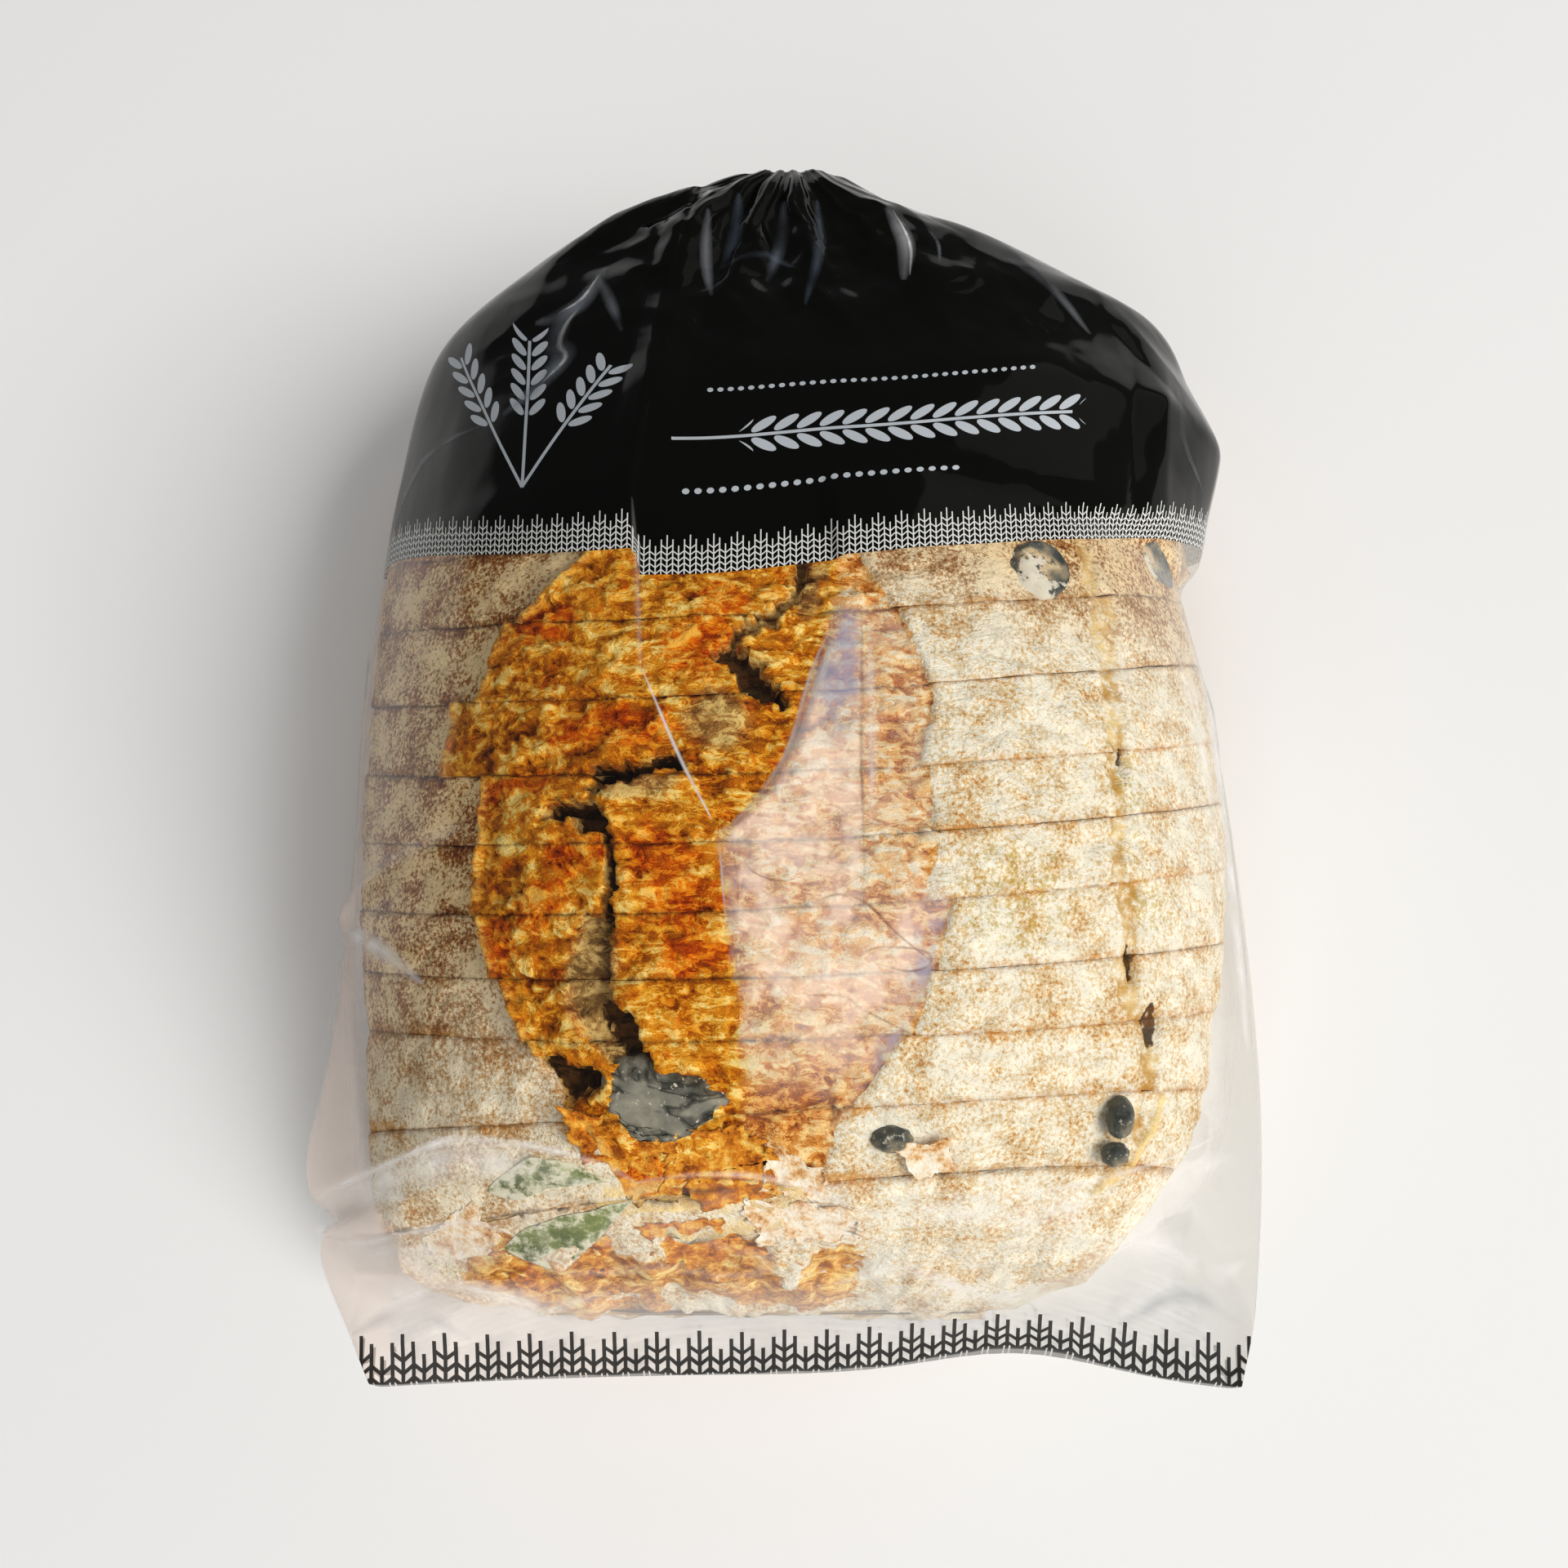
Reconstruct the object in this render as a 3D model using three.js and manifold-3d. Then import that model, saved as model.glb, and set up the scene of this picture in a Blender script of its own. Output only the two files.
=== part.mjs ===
// A sliced rustic loaf packed in a film bag, lying on its back with the printed front up.
// The bag is shut and full, so film and loaf are one solid: the film's outer form.
// Millimetres, +Z up, +Y towards the gathered neck, -Y towards the flat bottom seam.
import * as THREE from "three";
import { mergeVertices } from "three/addons/utils/BufferGeometryUtils.js";
import Module from "manifold-3d";

// Driving sizes of the filled bag
const SEAM_Y = -129;
const HUB_Y = 142;
const BODY_HEIGHT = 87;
const SEAM_THICKNESS = 1.6;

// Steps of the skin: rings along the bag, and points across its top and under sheets
const STATIONS = 50;
const STATION_CROWDING = 0.09;
const TOP_COLUMNS = 56;
const UNDER_COLUMNS = 20;

// Silhouette seen from above, as [y, x] keys from the seam to the gathered hub
const LEFT_EDGE = [
  [-129, -88], [-118, -92.5], [-104, -98.5], [-98, -99], [-93.5, -96.5], [-89, -101.5], [-80, -102.5],
  [-61, -98.5], [-34, -95.8], [-29, -97.6], [-24, -95], [15, -94], [56, -90], [73, -87.5], [97, -82.5],
  [109, -76], [122, -60], [130, -46], [137, -26], [142, -13],
];
const RIGHT_EDGE = [
  [-129, 97], [-112, 100.5], [-78, 102.5], [-42, 101.3], [-4, 98], [24.5, 94], [41, 90.5], [48, 89.5],
  [54, 93.5], [66, 96.2], [80, 99.4], [84, 98.8], [96, 93], [110, 86], [118, 72], [126, 56], [131, 42],
  [135.5, 28], [142, 15],
];

// Heights along the bag, as [y, z] keys
const CREST = [
  [-129, SEAM_THICKNESS], [-124, 4.5], [-118, 12], [-110, 27], [-101, 43], [-88, 59], [-66, 74.5], [-38, 83.5],
  [-8, BODY_HEIGHT], [22, 86], [50, 81], [75, 73.5], [95, 65], [112, 58.5], [126, 54.5], [136, 51], [142, 46.5],
];
const EDGE_HEIGHT = [
  [-129, SEAM_THICKNESS / 2], [-112, 3.5], [-95, 8], [-60, 15], [0, 18], [60, 22], [100, 27], [125, 34], [142, 43],
];
const UNDERSIDE = [
  [-129, 0], [88, 0], [100, 2], [110, 7], [120, 14], [130, 24], [138, 34], [142, 40],
];
// How much of the half width lies flat on the table, and how square the sections are
const FLAT_SHARE = [
  [-129, 0.97], [-100, 0.86], [-60, 0.76], [60, 0.76], [100, 0.7], [142, 0.5],
];
const DOME_POWER = 2.7;
const DOME_ROUNDNESS = 0.7;
const UNDER_CURVE = 1.6;

// The seam is pulled in towards the loaf between its corners, and stands in low waves
const SEAM_HALF_WIDTH = 98;
const SEAM_REACH = 26;
const SEAM_PULL = 3.5;
const SEAM_BAY = { x: 50, depth: 4.5, width: 26, lift: 3 };
const SEAM_WAVES = { height: 1.6, length: 46, phase: 0.8 };

// Pleats run down from the hub: degrees from the bag's axis, half width in degrees, and mm
const PLEAT_HUB = { x: 0, y: 148 };
const PLEAT_FULL_RADIUS = 16;
const PLEATS = [
  { angle: -66, spread: 9, reach: 70, height: 3.6 },
  { angle: -52, spread: 7, reach: 60, height: -2.8 },
  { angle: -38, spread: 9, reach: 76, height: 4 },
  { angle: -24, spread: 7, reach: 60, height: -3 },
  { angle: -12, spread: 8, reach: 72, height: 4.2 },
  { angle: 0, spread: 7, reach: 58, height: -3.4 },
  { angle: 12, spread: 8, reach: 66, height: 4.4 },
  { angle: 26, spread: 8, reach: 54, height: -3 },
  { angle: 42, spread: 10, reach: 66, height: 4.2 },
  { angle: 60, spread: 9, reach: 60, height: -2.4 },
];

// Creases elsewhere run in plan from one point to the other, rising from nothing at their start
const CREASE_FULL_SHARE = 0.4;
const CREASES = [
  { from: [-34, 36], to: [-19, 132], height: 3, width: 7 },
  { from: [86, 100], to: [84, 56], height: 3, width: 8 },
  { from: [-50, -82], to: [-99, -96], height: 4.4, width: 8 },
  { from: [-40, -106], to: [-98, -99], height: -3, width: 7 },
  { from: [62, -96], to: [100, -84], height: 3.2, width: 8 },
];
const RIM_SHARE = 0.16;

// The neck is gathered into a lobed rope that turns down and under the loaf's end
const NECK_SPINE = [
  [0, 124, 46], [0, 134, 40], [0, 136.5, 27], [0, 134, 15], [0, 125, 8.2], [0, 110, 5.2], [0, 97, 4.4],
];
const NECK_HALF_WIDTH = [12, 11, 9.5, 10, 13, 18, 21];
const NECK_HALF_DEPTH = [7, 6.5, 5.6, 5.2, 5, 3.8, 3];
const NECK_LOBES = 7;
const NECK_LOBE_DEPTH = 0.14;
const NECK_TWIST = 4;
const NECK_STEPS = 18;
const NECK_SIDES = 28;

const PRINTED_FILM = { color: 0x9c8a6c, roughness: 0.25, metalness: 0 };

// Smooth curve through [position, value] keys
function along(keys, at) {
  const last = keys.length - 1;
  if (at <= keys[0][0]) return keys[0][1];
  if (at >= keys[last][0]) return keys[last][1];
  let i = 0;
  while (at > keys[i + 1][0]) i += 1;
  const slope = (k) => {
    const before = keys[Math.max(k - 1, 0)];
    const after = keys[Math.min(k + 1, last)];
    return (after[1] - before[1]) / (after[0] - before[0]);
  };
  const span = keys[i + 1][0] - keys[i][0];
  const t = (at - keys[i][0]) / span;
  const rise = keys[i + 1][1] - keys[i][1];
  const a = slope(i) * span;
  const b = slope(i + 1) * span;
  return keys[i][1] + t * a + t * t * (3 * rise - 2 * a - b) + t * t * t * (a + b - 2 * rise);
}

// How far one pleat lifts the film at a point in plan
function pleatLift(pleat, x, y) {
  const dx = x - PLEAT_HUB.x;
  const dy = PLEAT_HUB.y - y;
  const radius = Math.hypot(dx, dy);
  const off = Math.abs(THREE.MathUtils.radToDeg(Math.atan2(dx, dy)) - pleat.angle) / pleat.spread;
  if (off >= 1 || radius >= pleat.reach) return 0;
  const across = 0.5 + 0.5 * Math.cos(Math.PI * off);
  const down = 1 - radius / pleat.reach;
  return pleat.height * across * down * Math.min(1, radius / PLEAT_FULL_RADIUS);
}

// How far one crease lifts the film at a point in plan
function creaseLift(crease, x, y) {
  const dx = crease.to[0] - crease.from[0];
  const dy = crease.to[1] - crease.from[1];
  const run = THREE.MathUtils.clamp(
    ((x - crease.from[0]) * dx + (y - crease.from[1]) * dy) / (dx * dx + dy * dy), 0, 1);
  const off = Math.hypot(x - crease.from[0] - run * dx, y - crease.from[1] - run * dy);
  const across = Math.max(0, 1 - off / crease.width);
  return crease.height * across * Math.min(1, run / CREASE_FULL_SHARE);
}

// 1 at the seam, falling to 0 where its pull ends
function seamNearness(y) {
  return Math.max(0, 1 - (y - SEAM_Y) / SEAM_REACH);
}

function bayAt(x) {
  return Math.exp(-(((x - SEAM_BAY.x) / SEAM_BAY.width) ** 2));
}

function seamShift(x, y) {
  const pull = SEAM_PULL * Math.max(0, 1 - (x / SEAM_HALF_WIDTH) ** 2);
  return (pull + SEAM_BAY.depth * bayAt(x)) * seamNearness(y) ** 2;
}

function seamLift(x, y) {
  const wave = 0.5 + 0.5 * Math.sin((2 * Math.PI * x) / SEAM_WAVES.length + SEAM_WAVES.phase);
  return (SEAM_WAVES.height * wave + SEAM_BAY.lift * bayAt(x)) * seamNearness(y);
}

// Where s runs from -1 at the left edge to 1 at the right edge
function acrossAt(s, y) {
  const left = along(LEFT_EDGE, y);
  const right = along(RIGHT_EDGE, y);
  return (left + right) / 2 + (s * (right - left)) / 2;
}

function topPoint(s, y) {
  const x = acrossAt(s, y);
  const edge = along(EDGE_HEIGHT, y);
  const dome = (1 - Math.abs(s) ** DOME_POWER) ** DOME_ROUNDNESS;
  const rim = Math.min(1, (1 - Math.abs(s)) / RIM_SHARE);
  const pleats = PLEATS.reduce((sum, pleat) => sum + pleatLift(pleat, x, y), 0);
  const creases = CREASES.reduce((sum, crease) => sum + creaseLift(crease, x, y), 0);
  const z = edge + (along(CREST, y) - edge) * dome + (pleats + creases) * rim + seamLift(x, y);
  return new THREE.Vector3(x, y + seamShift(x, y), z);
}

function underPoint(s, y) {
  const x = acrossAt(s, y);
  const flat = along(FLAT_SHARE, y);
  const low = Math.max(0, along(UNDERSIDE, y));
  const rise = Math.max(0, (Math.abs(s) - flat) / (1 - flat)) ** UNDER_CURVE;
  const z = low + (along(EDGE_HEIGHT, y) - low) * rise + seamLift(x, y) * rise;
  return new THREE.Vector3(x, y + seamShift(x, y), z);
}

// Stations lie closer together at the seam and at the hub, where the form turns fast
function stationY(i) {
  const t = i / STATIONS;
  return THREE.MathUtils.lerp(SEAM_Y, HUB_Y, t - Math.sin(2 * Math.PI * t) * STATION_CROWDING);
}

// A closed ring: the top sheet from left to right, then the under sheet back
function ringAt(y) {
  const ring = [];
  for (let j = 0; j <= TOP_COLUMNS; j += 1) {
    const u = (2 * j) / TOP_COLUMNS - 1;
    ring.push(topPoint((u + Math.sin((Math.PI * u) / 2)) / 2, y));
  }
  for (let j = UNDER_COLUMNS - 1; j >= 1; j -= 1) {
    ring.push(underPoint(Math.sin((Math.PI * (2 * j - UNDER_COLUMNS)) / (2 * UNDER_COLUMNS)), y));
  }
  return ring;
}

// Triangles between two chains of corners that share both their ends
function zip(upper, lower) {
  const faces = [];
  let i = 0;
  let j = 0;
  while (i + 1 < upper.length || j + 1 < lower.length) {
    const share = (k, chain) => (k + 1) / (chain.length - 1);
    const stepsUpper = share(i, upper) <= share(j, lower);
    const corners = [lower[j], upper[i], stepsUpper ? upper[i + 1] : lower[j + 1]];
    if (new Set(corners).size === 3) faces.push(corners);
    if (stepsUpper) i += 1;
    else j += 1;
  }
  return faces;
}

// Joins rings into a closed skin; the first `top` steps of a ring are its upper side
function loft(rings, top) {
  const count = rings[0].length;
  const positions = rings.flat().flatMap((p) => [p.x, p.y, p.z]);
  const faces = [];
  for (let i = 0; i + 1 < rings.length; i += 1) {
    for (let j = 0; j < count; j += 1) {
      const a = i * count + j;
      const b = i * count + ((j + 1) % count);
      faces.push([a, b, b + count], [a, b + count, a + count]);
    }
  }
  const chain = (first, from, to, step) => {
    const corners = [];
    for (let j = from; j !== to + step; j += step) corners.push(first + (j % count));
    return corners;
  };
  const endFaces = (first) => zip(chain(first, 0, top, 1), chain(first, count, top, -1));
  faces.push(...endFaces(0).map((face) => face.reverse()));
  faces.push(...endFaces((rings.length - 1) * count));
  const skin = new THREE.BufferGeometry();
  skin.setAttribute("position", new THREE.Float32BufferAttribute(positions, 3));
  skin.setIndex(faces.flat());
  return skin;
}

function bodySkin() {
  const rings = [];
  for (let i = 0; i <= STATIONS; i += 1) rings.push(ringAt(stationY(i)));
  return loft(rings, TOP_COLUMNS);
}

// The gathered neck, a lobed rope swept along its spine
function neckSkin() {
  const spine = new THREE.CatmullRomCurve3(NECK_SPINE.map((p) => new THREE.Vector3(...p)));
  const sizeKeys = (values) => values.map((v, i) => [i / (values.length - 1), v]);
  const rings = [];
  for (let i = 0; i <= NECK_STEPS; i += 1) {
    const t = i / NECK_STEPS;
    const centre = spine.getPoint(t);
    const forward = spine.getTangent(t);
    const side = new THREE.Vector3(1, 0, 0);
    const out = new THREE.Vector3().crossVectors(side, forward).normalize();
    const ring = [];
    for (let j = 0; j < NECK_SIDES; j += 1) {
      const angle = Math.PI - (2 * Math.PI * j) / NECK_SIDES;
      const lobe = 1 + NECK_LOBE_DEPTH * Math.cos(NECK_LOBES * angle + NECK_TWIST * t);
      ring.push(centre.clone()
        .addScaledVector(side, Math.cos(angle) * along(sizeKeys(NECK_HALF_WIDTH), t) * lobe)
        .addScaledVector(out, Math.sin(angle) * along(sizeKeys(NECK_HALF_DEPTH), t) * lobe));
    }
    rings.push(ring);
  }
  return loft(rings, NECK_SIDES / 2);
}

const MERGE_DISTANCE = 1e-3;
const wasm = await Module();
wasm.setup();

function solidOf(skin) {
  const merged = mergeVertices(skin, MERGE_DISTANCE);
  const solid = new wasm.Manifold(new wasm.Mesh({
    numProp: 3,
    vertProperties: merged.attributes.position.array,
    triVerts: new Uint32Array(merged.index.array),
  }));
  if (solid.volume() < 0) throw new Error("a skin of the bag is inside out");
  return solid;
}

function geometryOf(solid) {
  const mesh = solid.getMesh();
  const geometry = new THREE.BufferGeometry();
  geometry.setAttribute("position", new THREE.BufferAttribute(mesh.vertProperties, 3));
  geometry.setIndex(new THREE.BufferAttribute(mesh.triVerts, 1));
  return geometry;
}

const bagGeometry = geometryOf(solidOf(bodySkin()).add(solidOf(neckSkin())));

// The origin is the middle of the footprint's box, on the table
bagGeometry.computeBoundingBox();
const box = bagGeometry.boundingBox;
bagGeometry.translate(-(box.min.x + box.max.x) / 2, -(box.min.y + box.max.y) / 2, -box.min.z);
bagGeometry.computeVertexNormals();

const bag = new THREE.Mesh(bagGeometry, new THREE.MeshStandardMaterial(PRINTED_FILM));
bag.name = "bag";

const baggedLoaf = new THREE.Group();
baggedLoaf.add(bag);

export default baggedLoaf;
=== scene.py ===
"""Looks of a sliced rustic loaf in a printed film bread bag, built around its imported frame."""
import itertools
import math
from collections import namedtuple
from contextlib import contextmanager

import bmesh
import bpy
import numpy as np
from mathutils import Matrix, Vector


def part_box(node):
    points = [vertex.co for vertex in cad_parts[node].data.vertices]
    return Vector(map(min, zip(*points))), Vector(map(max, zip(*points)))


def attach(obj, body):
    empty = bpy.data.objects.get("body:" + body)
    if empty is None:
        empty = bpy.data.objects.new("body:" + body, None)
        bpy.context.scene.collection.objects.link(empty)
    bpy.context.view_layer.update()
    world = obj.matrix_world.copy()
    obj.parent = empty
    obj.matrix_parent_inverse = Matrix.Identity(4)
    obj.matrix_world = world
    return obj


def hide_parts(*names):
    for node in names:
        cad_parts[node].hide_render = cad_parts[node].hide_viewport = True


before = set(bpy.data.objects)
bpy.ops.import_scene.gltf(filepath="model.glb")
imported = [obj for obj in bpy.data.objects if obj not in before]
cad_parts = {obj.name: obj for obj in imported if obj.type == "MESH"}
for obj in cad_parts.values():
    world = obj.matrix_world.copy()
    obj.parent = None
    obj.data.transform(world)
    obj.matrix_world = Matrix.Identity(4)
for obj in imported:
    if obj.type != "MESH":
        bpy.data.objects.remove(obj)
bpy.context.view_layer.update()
BAG_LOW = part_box("bag")[0]

bl_info = {
    "name": "Loaf in Bread Bag",
    "version": (1, 0, 0),
    "blender": (4, 5, 0),
    "location": "View3D > Sidebar > Bread Bag",
    "description": "Builds a sliced loaf in a printed film bag around its packed frame",
    "category": "Add Mesh",
}

MM = 0.001
PER_METRE = 1000.0
WELD_DISTANCE = 0.00002

# The filled bag's form in millimetres, +Y towards the neck, as in its frame
SEAM_Y = -129.0
HUB_Y = 142.0
SEAM_GAP = 0.5
LEFT_EDGE = [
    (-129, -88), (-118, -92.5), (-104, -98.5), (-98, -99), (-93.5, -96.5), (-89, -101.5), (-80, -102.5),
    (-61, -98.5), (-34, -95.8), (-29, -97.6), (-24, -95), (15, -94), (56, -90), (73, -87.5), (97, -82.5),
    (109, -76), (122, -60), (130, -46), (137, -26), (142, -13),
]
RIGHT_EDGE = [
    (-129, 97), (-112, 100.5), (-78, 102.5), (-42, 101.3), (-4, 98), (24.5, 94), (41, 90.5), (48, 89.5),
    (54, 93.5), (66, 96.2), (80, 99.4), (84, 98.8), (96, 93), (110, 86), (118, 72), (126, 56), (131, 42),
    (135.5, 28), (142, 15),
]
CREST = [
    (-129, SEAM_GAP), (-124, 4), (-118, 12), (-110, 27), (-101, 43), (-88, 59), (-66, 74.5), (-38, 83.5),
    (-8, 87), (22, 86), (50, 81), (75, 73.5), (95, 65), (112, 58.5), (126, 54.5), (136, 51), (142, 46.5),
]
EDGE_HEIGHT = [
    (-129, SEAM_GAP / 2), (-112, 3.5), (-95, 8), (-60, 15), (0, 18), (60, 22), (100, 27), (125, 34),
    (142, 43),
]
UNDERSIDE = [
    (-129, 0), (88, 0), (100, 2), (110, 7), (120, 14), (130, 24), (138, 34), (142, 40),
]
FLAT_SHARE = [
    (-129, 0.97), (-100, 0.86), (-60, 0.76), (60, 0.76), (100, 0.7), (142, 0.5),
]
DOME_POWER = 2.7
DOME_ROUNDNESS = 0.7
UNDER_CURVE = 1.6
RIM_SHARE = 0.16

# The seam's pull, bay and waves
SEAM_HALF_WIDTH = 98.0
SEAM_REACH = 26.0
SEAM_PULL = 3.5
SEAM_BAY_X = 50.0
SEAM_BAY_DEPTH = 5.5
SEAM_BAY_WIDTH = 26.0
SEAM_BAY_LIFT = 3.0
SEAM_WAVE_HEIGHT = 1.8
SEAM_WAVE_LENGTH = 46.0
SEAM_WAVE_PHASE = 0.8
SEAM_RIPPLE_HEIGHT = 0.35
SEAM_RIPPLE_LENGTH = SEAM_WAVE_LENGTH / 3.1

# Pleats run down from the hub: angle and half width in degrees, reach and height in millimetres
PLEAT_HUB = (0.0, 148.0)
PLEAT_FULL_RADIUS = 34.0
PLEAT_WANDER = [(9, 19.0, 201), (4, 7.0, 203)]  # degrees, size of the waves in millimetres and seed
Pleat = namedtuple("Pleat", "angle spread reach height")
PLEATS = [
    Pleat(-66, 9, 70, 3.6), Pleat(-52, 7, 60, -2.8), Pleat(-38, 9, 76, 4), Pleat(-24, 7, 60, -3),
    Pleat(-12, 8, 72, 4.2), Pleat(0, 7, 58, -3.4), Pleat(12, 8, 66, 4.4), Pleat(26, 8, 54, -3),
    Pleat(42, 10, 66, 4.2), Pleat(60, 9, 60, -2.4),
    Pleat(-31, 3, 44, 1.6), Pleat(-18, 2.5, 52, 1.4), Pleat(-6, 3, 40, 1.8), Pleat(6, 2.5, 46, -1.5),
    Pleat(18, 3, 50, 1.7), Pleat(33, 3, 60, 1.5), Pleat(51, 4, 48, 1.8), Pleat(-46, 3, 50, 1.6),
]

# The film's crumpling and its slow swell: heights and sizes in millimetres
RIDGE_HEIGHT, RIDGE_SIZE = 1.5, 17.0
RIPPLE_HEIGHT, RIPPLE_SIZE = 0.45, 7.0
SWELL_HEIGHT, SWELL_SIZE = 0.5, 46.0

# Creases run in plan from one point to the other, with their height and half width
Crease = namedtuple("Crease", "start end height width")
CREASE_FULL_SHARE = 0.4
CREASES = [
    Crease((-34, 36), (-19, 132), 3.0, 7),
    Crease((86, 100), (84, 56), 3.0, 8),
    Crease((-50, -82), (-99, -96), 4.4, 8),
    Crease((-40, -106), (-98, -99), -3.0, 7),
    Crease((62, -96), (100, -84), 3.2, 8),
    Crease((-74, -56), (-99, -29), 1.8, 4),
    Crease((70, -84), (98, -110), 2.0, 5),
    Crease((74, 108), (96, 84), 2.4, 6),
    Crease((-28, -100), (-84, -122), 2.0, 6),
    Crease((30, -104), (84, -124), 1.8, 6),
    Crease((-2, -108), (-30, -128), 1.4, 5),
    Crease((88, 66), (99, 80), 2.0, 5),
]

# Long pleat in the shown front: the film left of it lies over the film right of it
PLEAT_LINE = [(-19.7, 139), (-27, 92), (-31.9, 46), (-30.5, 25)]
PLEAT_STEP = 1.1
PLEAT_PRINT_STEP = 4.0
PLEAT_PRINT_SKEW = 0.09
PLEAT_PRINT_MIDDLE = -58.0
RIGHT_PRINT_RISE = 2.4
PLEAT_TAIL = [(-28.6, 0), (-21.6, -17), (-14, -31)]
PLEAT_TAIL_HEIGHT = 0.9
PLEAT_TAIL_HALF_WIDTH = 1.0

# Left of this arc the film clings to the bread; right of it it stands off, with dust and painted sheen inside
ARC = [
    (8, 40), (11, 22), (9.2, 9.9), (5.5, -0.7), (0.8, -17.2), (-4.5, -26.2), (-10.9, -33.2),
    (-13.3, -34.2), (-12.2, -45.3), (-11.5, -55.3), (-9, -66),
]
ARC_LIFT = 2.4
# The right edge of the film's dust and painted sheen, and the fold right of which they are thinner
HAZE_RIGHT = [
    (10, 40), (13.6, 26), (17.3, 24), (23.5, 11), (28.2, 3.6), (30.5, -10), (28, -20), (30.5, -31),
    (28.5, -43), (34, -46), (31, -58), (27.5, -68), (24, -73), (15, -84), (10, -96),
]
HAZE_FOLD_X = 15.8

# Print, in millimetres along the film from the seam
BORDER_FROM_SEAM = 188.5
TOP_BAND_STROKE = 0.11
SEAM_BAND_STROKE = 0.185
SEAM_BAND_SCALE = 1.84
SEAM_BAND_CUT_OFF = 6.8

# The wheat border at the size of the top band
STEM_PITCH = 1.22
STEM_HEIGHT = 8.6
TALL_STEM_RISE = 1.1
SHORT_STEM_DROP = 1.6
EAR_TOP = 7.3
BARB_PITCH = 1.5
BARB_SLANT = 1.05
BARB_STROKES = 2.2

# A wheat sprig of size 1
STALK_HALF_WIDTH = 0.4
GRAIN_PITCH = 4.4
GRAIN_SLANT = 0.9
GRAIN_FROM_STALK = 2.7
GRAIN_HALF_WIDTH = 2.0
GRAIN_HALF_LENGTH = 0.36
DOT_RADIUS_SHARE = 0.3

# The loaf: its left and right edges in plan, its ends and the height along its middle
LOAF_LEFT = [
    (-113, -50), (-111, -64), (-107, -75), (-100, -82), (-91, -87), (-83, -88.8), (-64, -91.2),
    (-31, -92.7), (-6, -91.8), (23, -90), (52, -87), (73, -82.5), (95, -69), (108, -52), (114, -34),
    (117, -10),
]
LOAF_RIGHT = [
    (-113, 44), (-111, 57), (-105, 71.5), (-94, 86), (-74, 93), (-52, 96), (-31, 95.8), (-6, 94.6),
    (23, 91.5), (40, 88.5), (52, 88), (73, 85), (95, 71), (108, 54), (114, 36), (117, 12),
]
LOAF_FRONT_Y, LOAF_BACK_Y = -113.0, 117.0
LOAF_CREST = [
    (-113, 5), (-111.5, 13), (-109, 23), (-104, 36), (-94, 50), (-80, 62), (-62, 72.4), (-38, 80),
    (-8, 83.4), (22, 82.4), (50, 78.5), (75, 71), (95, 61), (108, 50), (114, 38), (117, 20),
]
LOAF_BELLY = 19.0
BELLY_SHARE = 0.55
LOAF_DOME_POWER = 2.6
LOAF_DOME_ROUNDNESS = 0.62
LOAF_FLOOR = 0.7
FILM_CLEARANCE = 0.5
TOPPING_CLEARANCE = 0.6 * FILM_CLEARANCE
LEAF_CLEARANCE = 0.4 * FILM_CLEARANCE
EDGE_GAP = 1.2
FRONT_MARGIN = 0.2

# Slices from the back to the front: the front face's y at the middle, how far it turns per
# millimetre across, and the torn crust's left and right edges at its back and at its front
Slice = namedtuple("Slice", "front turn left right")
SLICES = [
    Slice(99, 0.055, None, None),
    Slice(83, 0.055, None, None),
    Slice(66, 0.055, None, None),
    Slice(49.5, 0.055, (-12, -24), (4, 8)),
    Slice(32, 0.055, (-28, -38), (8, 12)),
    Slice(14.5, 0.055, (-40, -56), (14, 22)),
    Slice(-3.2, 0.058, (-58, -63.5), (24, 30)),
    Slice(-20.4, 0.043, (-70, -72.4), (30.5, 27)),
    Slice(-34.4, 0.047, (-62.3, -63), (29.4, 31)),
    Slice(-48.2, 0.053, (-64.2, -64.6), (31.5, 28)),
    Slice(-61.2, 0.033, (-62.7, -60.2), (34, 31.3)),
    Slice(-72.5, 0.023, (-58.4, -53.4), (29.6, 26)),
    Slice(-85, 0.055, (-51.7, -43), (24.4, 14)),
    Slice(-97, 0.085, (-40, -30), (13, 7)),
    Slice(-113, 0, None, None),
]

# How far the cuts lean back for each millimetre down, and bow back for each square one across
CUT_LEAN = [(-113, 0), (-97, 0.12), (-85, 0.26), (-70, 0.38), (55, 0.38), (85, 0.22), (117, 0)]
CUT_BOW = 0.0008

# Cracks in the torn crust: corners in plan, half width and depth
Crack = namedtuple("Crack", "line width depth")
CRACKS = [
    Crack([(4, 30), (2.5, 19), (-4, 13), (-9.5, 8.5), (-12.4, 5.5)], 1.1, 3.2),
    Crack([(-12.4, 6), (-7.5, 1.8), (-1, -6.5)], 2.4, 6.0),
    Crack([(-23, -18.6), (-30, -18.2), (-37.4, -19.6), (-38.6, -24)], 1.7, 7.0),
    Crack([(-47, -25.8), (-41.5, -26.6), (-36.4, -30.3)], 2.2, 8.0),
    Crack([(-36.6, -28), (-35.8, -36), (-35.6, -44), (-36.4, -52)], 0.9, 5.0),
    Crack([(-36, -66), (-33, -70), (-30, -76)], 2.3, 6.5),
    Crack([(-38.5, -50), (-40, -58), (-38, -66), (-34, -73)], 3.8, 2.8),
    Crack([(-53.4, -73.4), (-49.1, -77), (-43.2, -79), (-38, -79)], 2.8, 7.0),
    Crack([(-29, -76), (-31.5, -83.5)], 3.6, 6.0),
    Crack([(-21, -98.2), (-13, -97.6)], 0.9, 3.4),
]
CRACK_LIP_HEIGHT = 0.9
CRACK_LIP_WIDTH = 3.0
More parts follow.
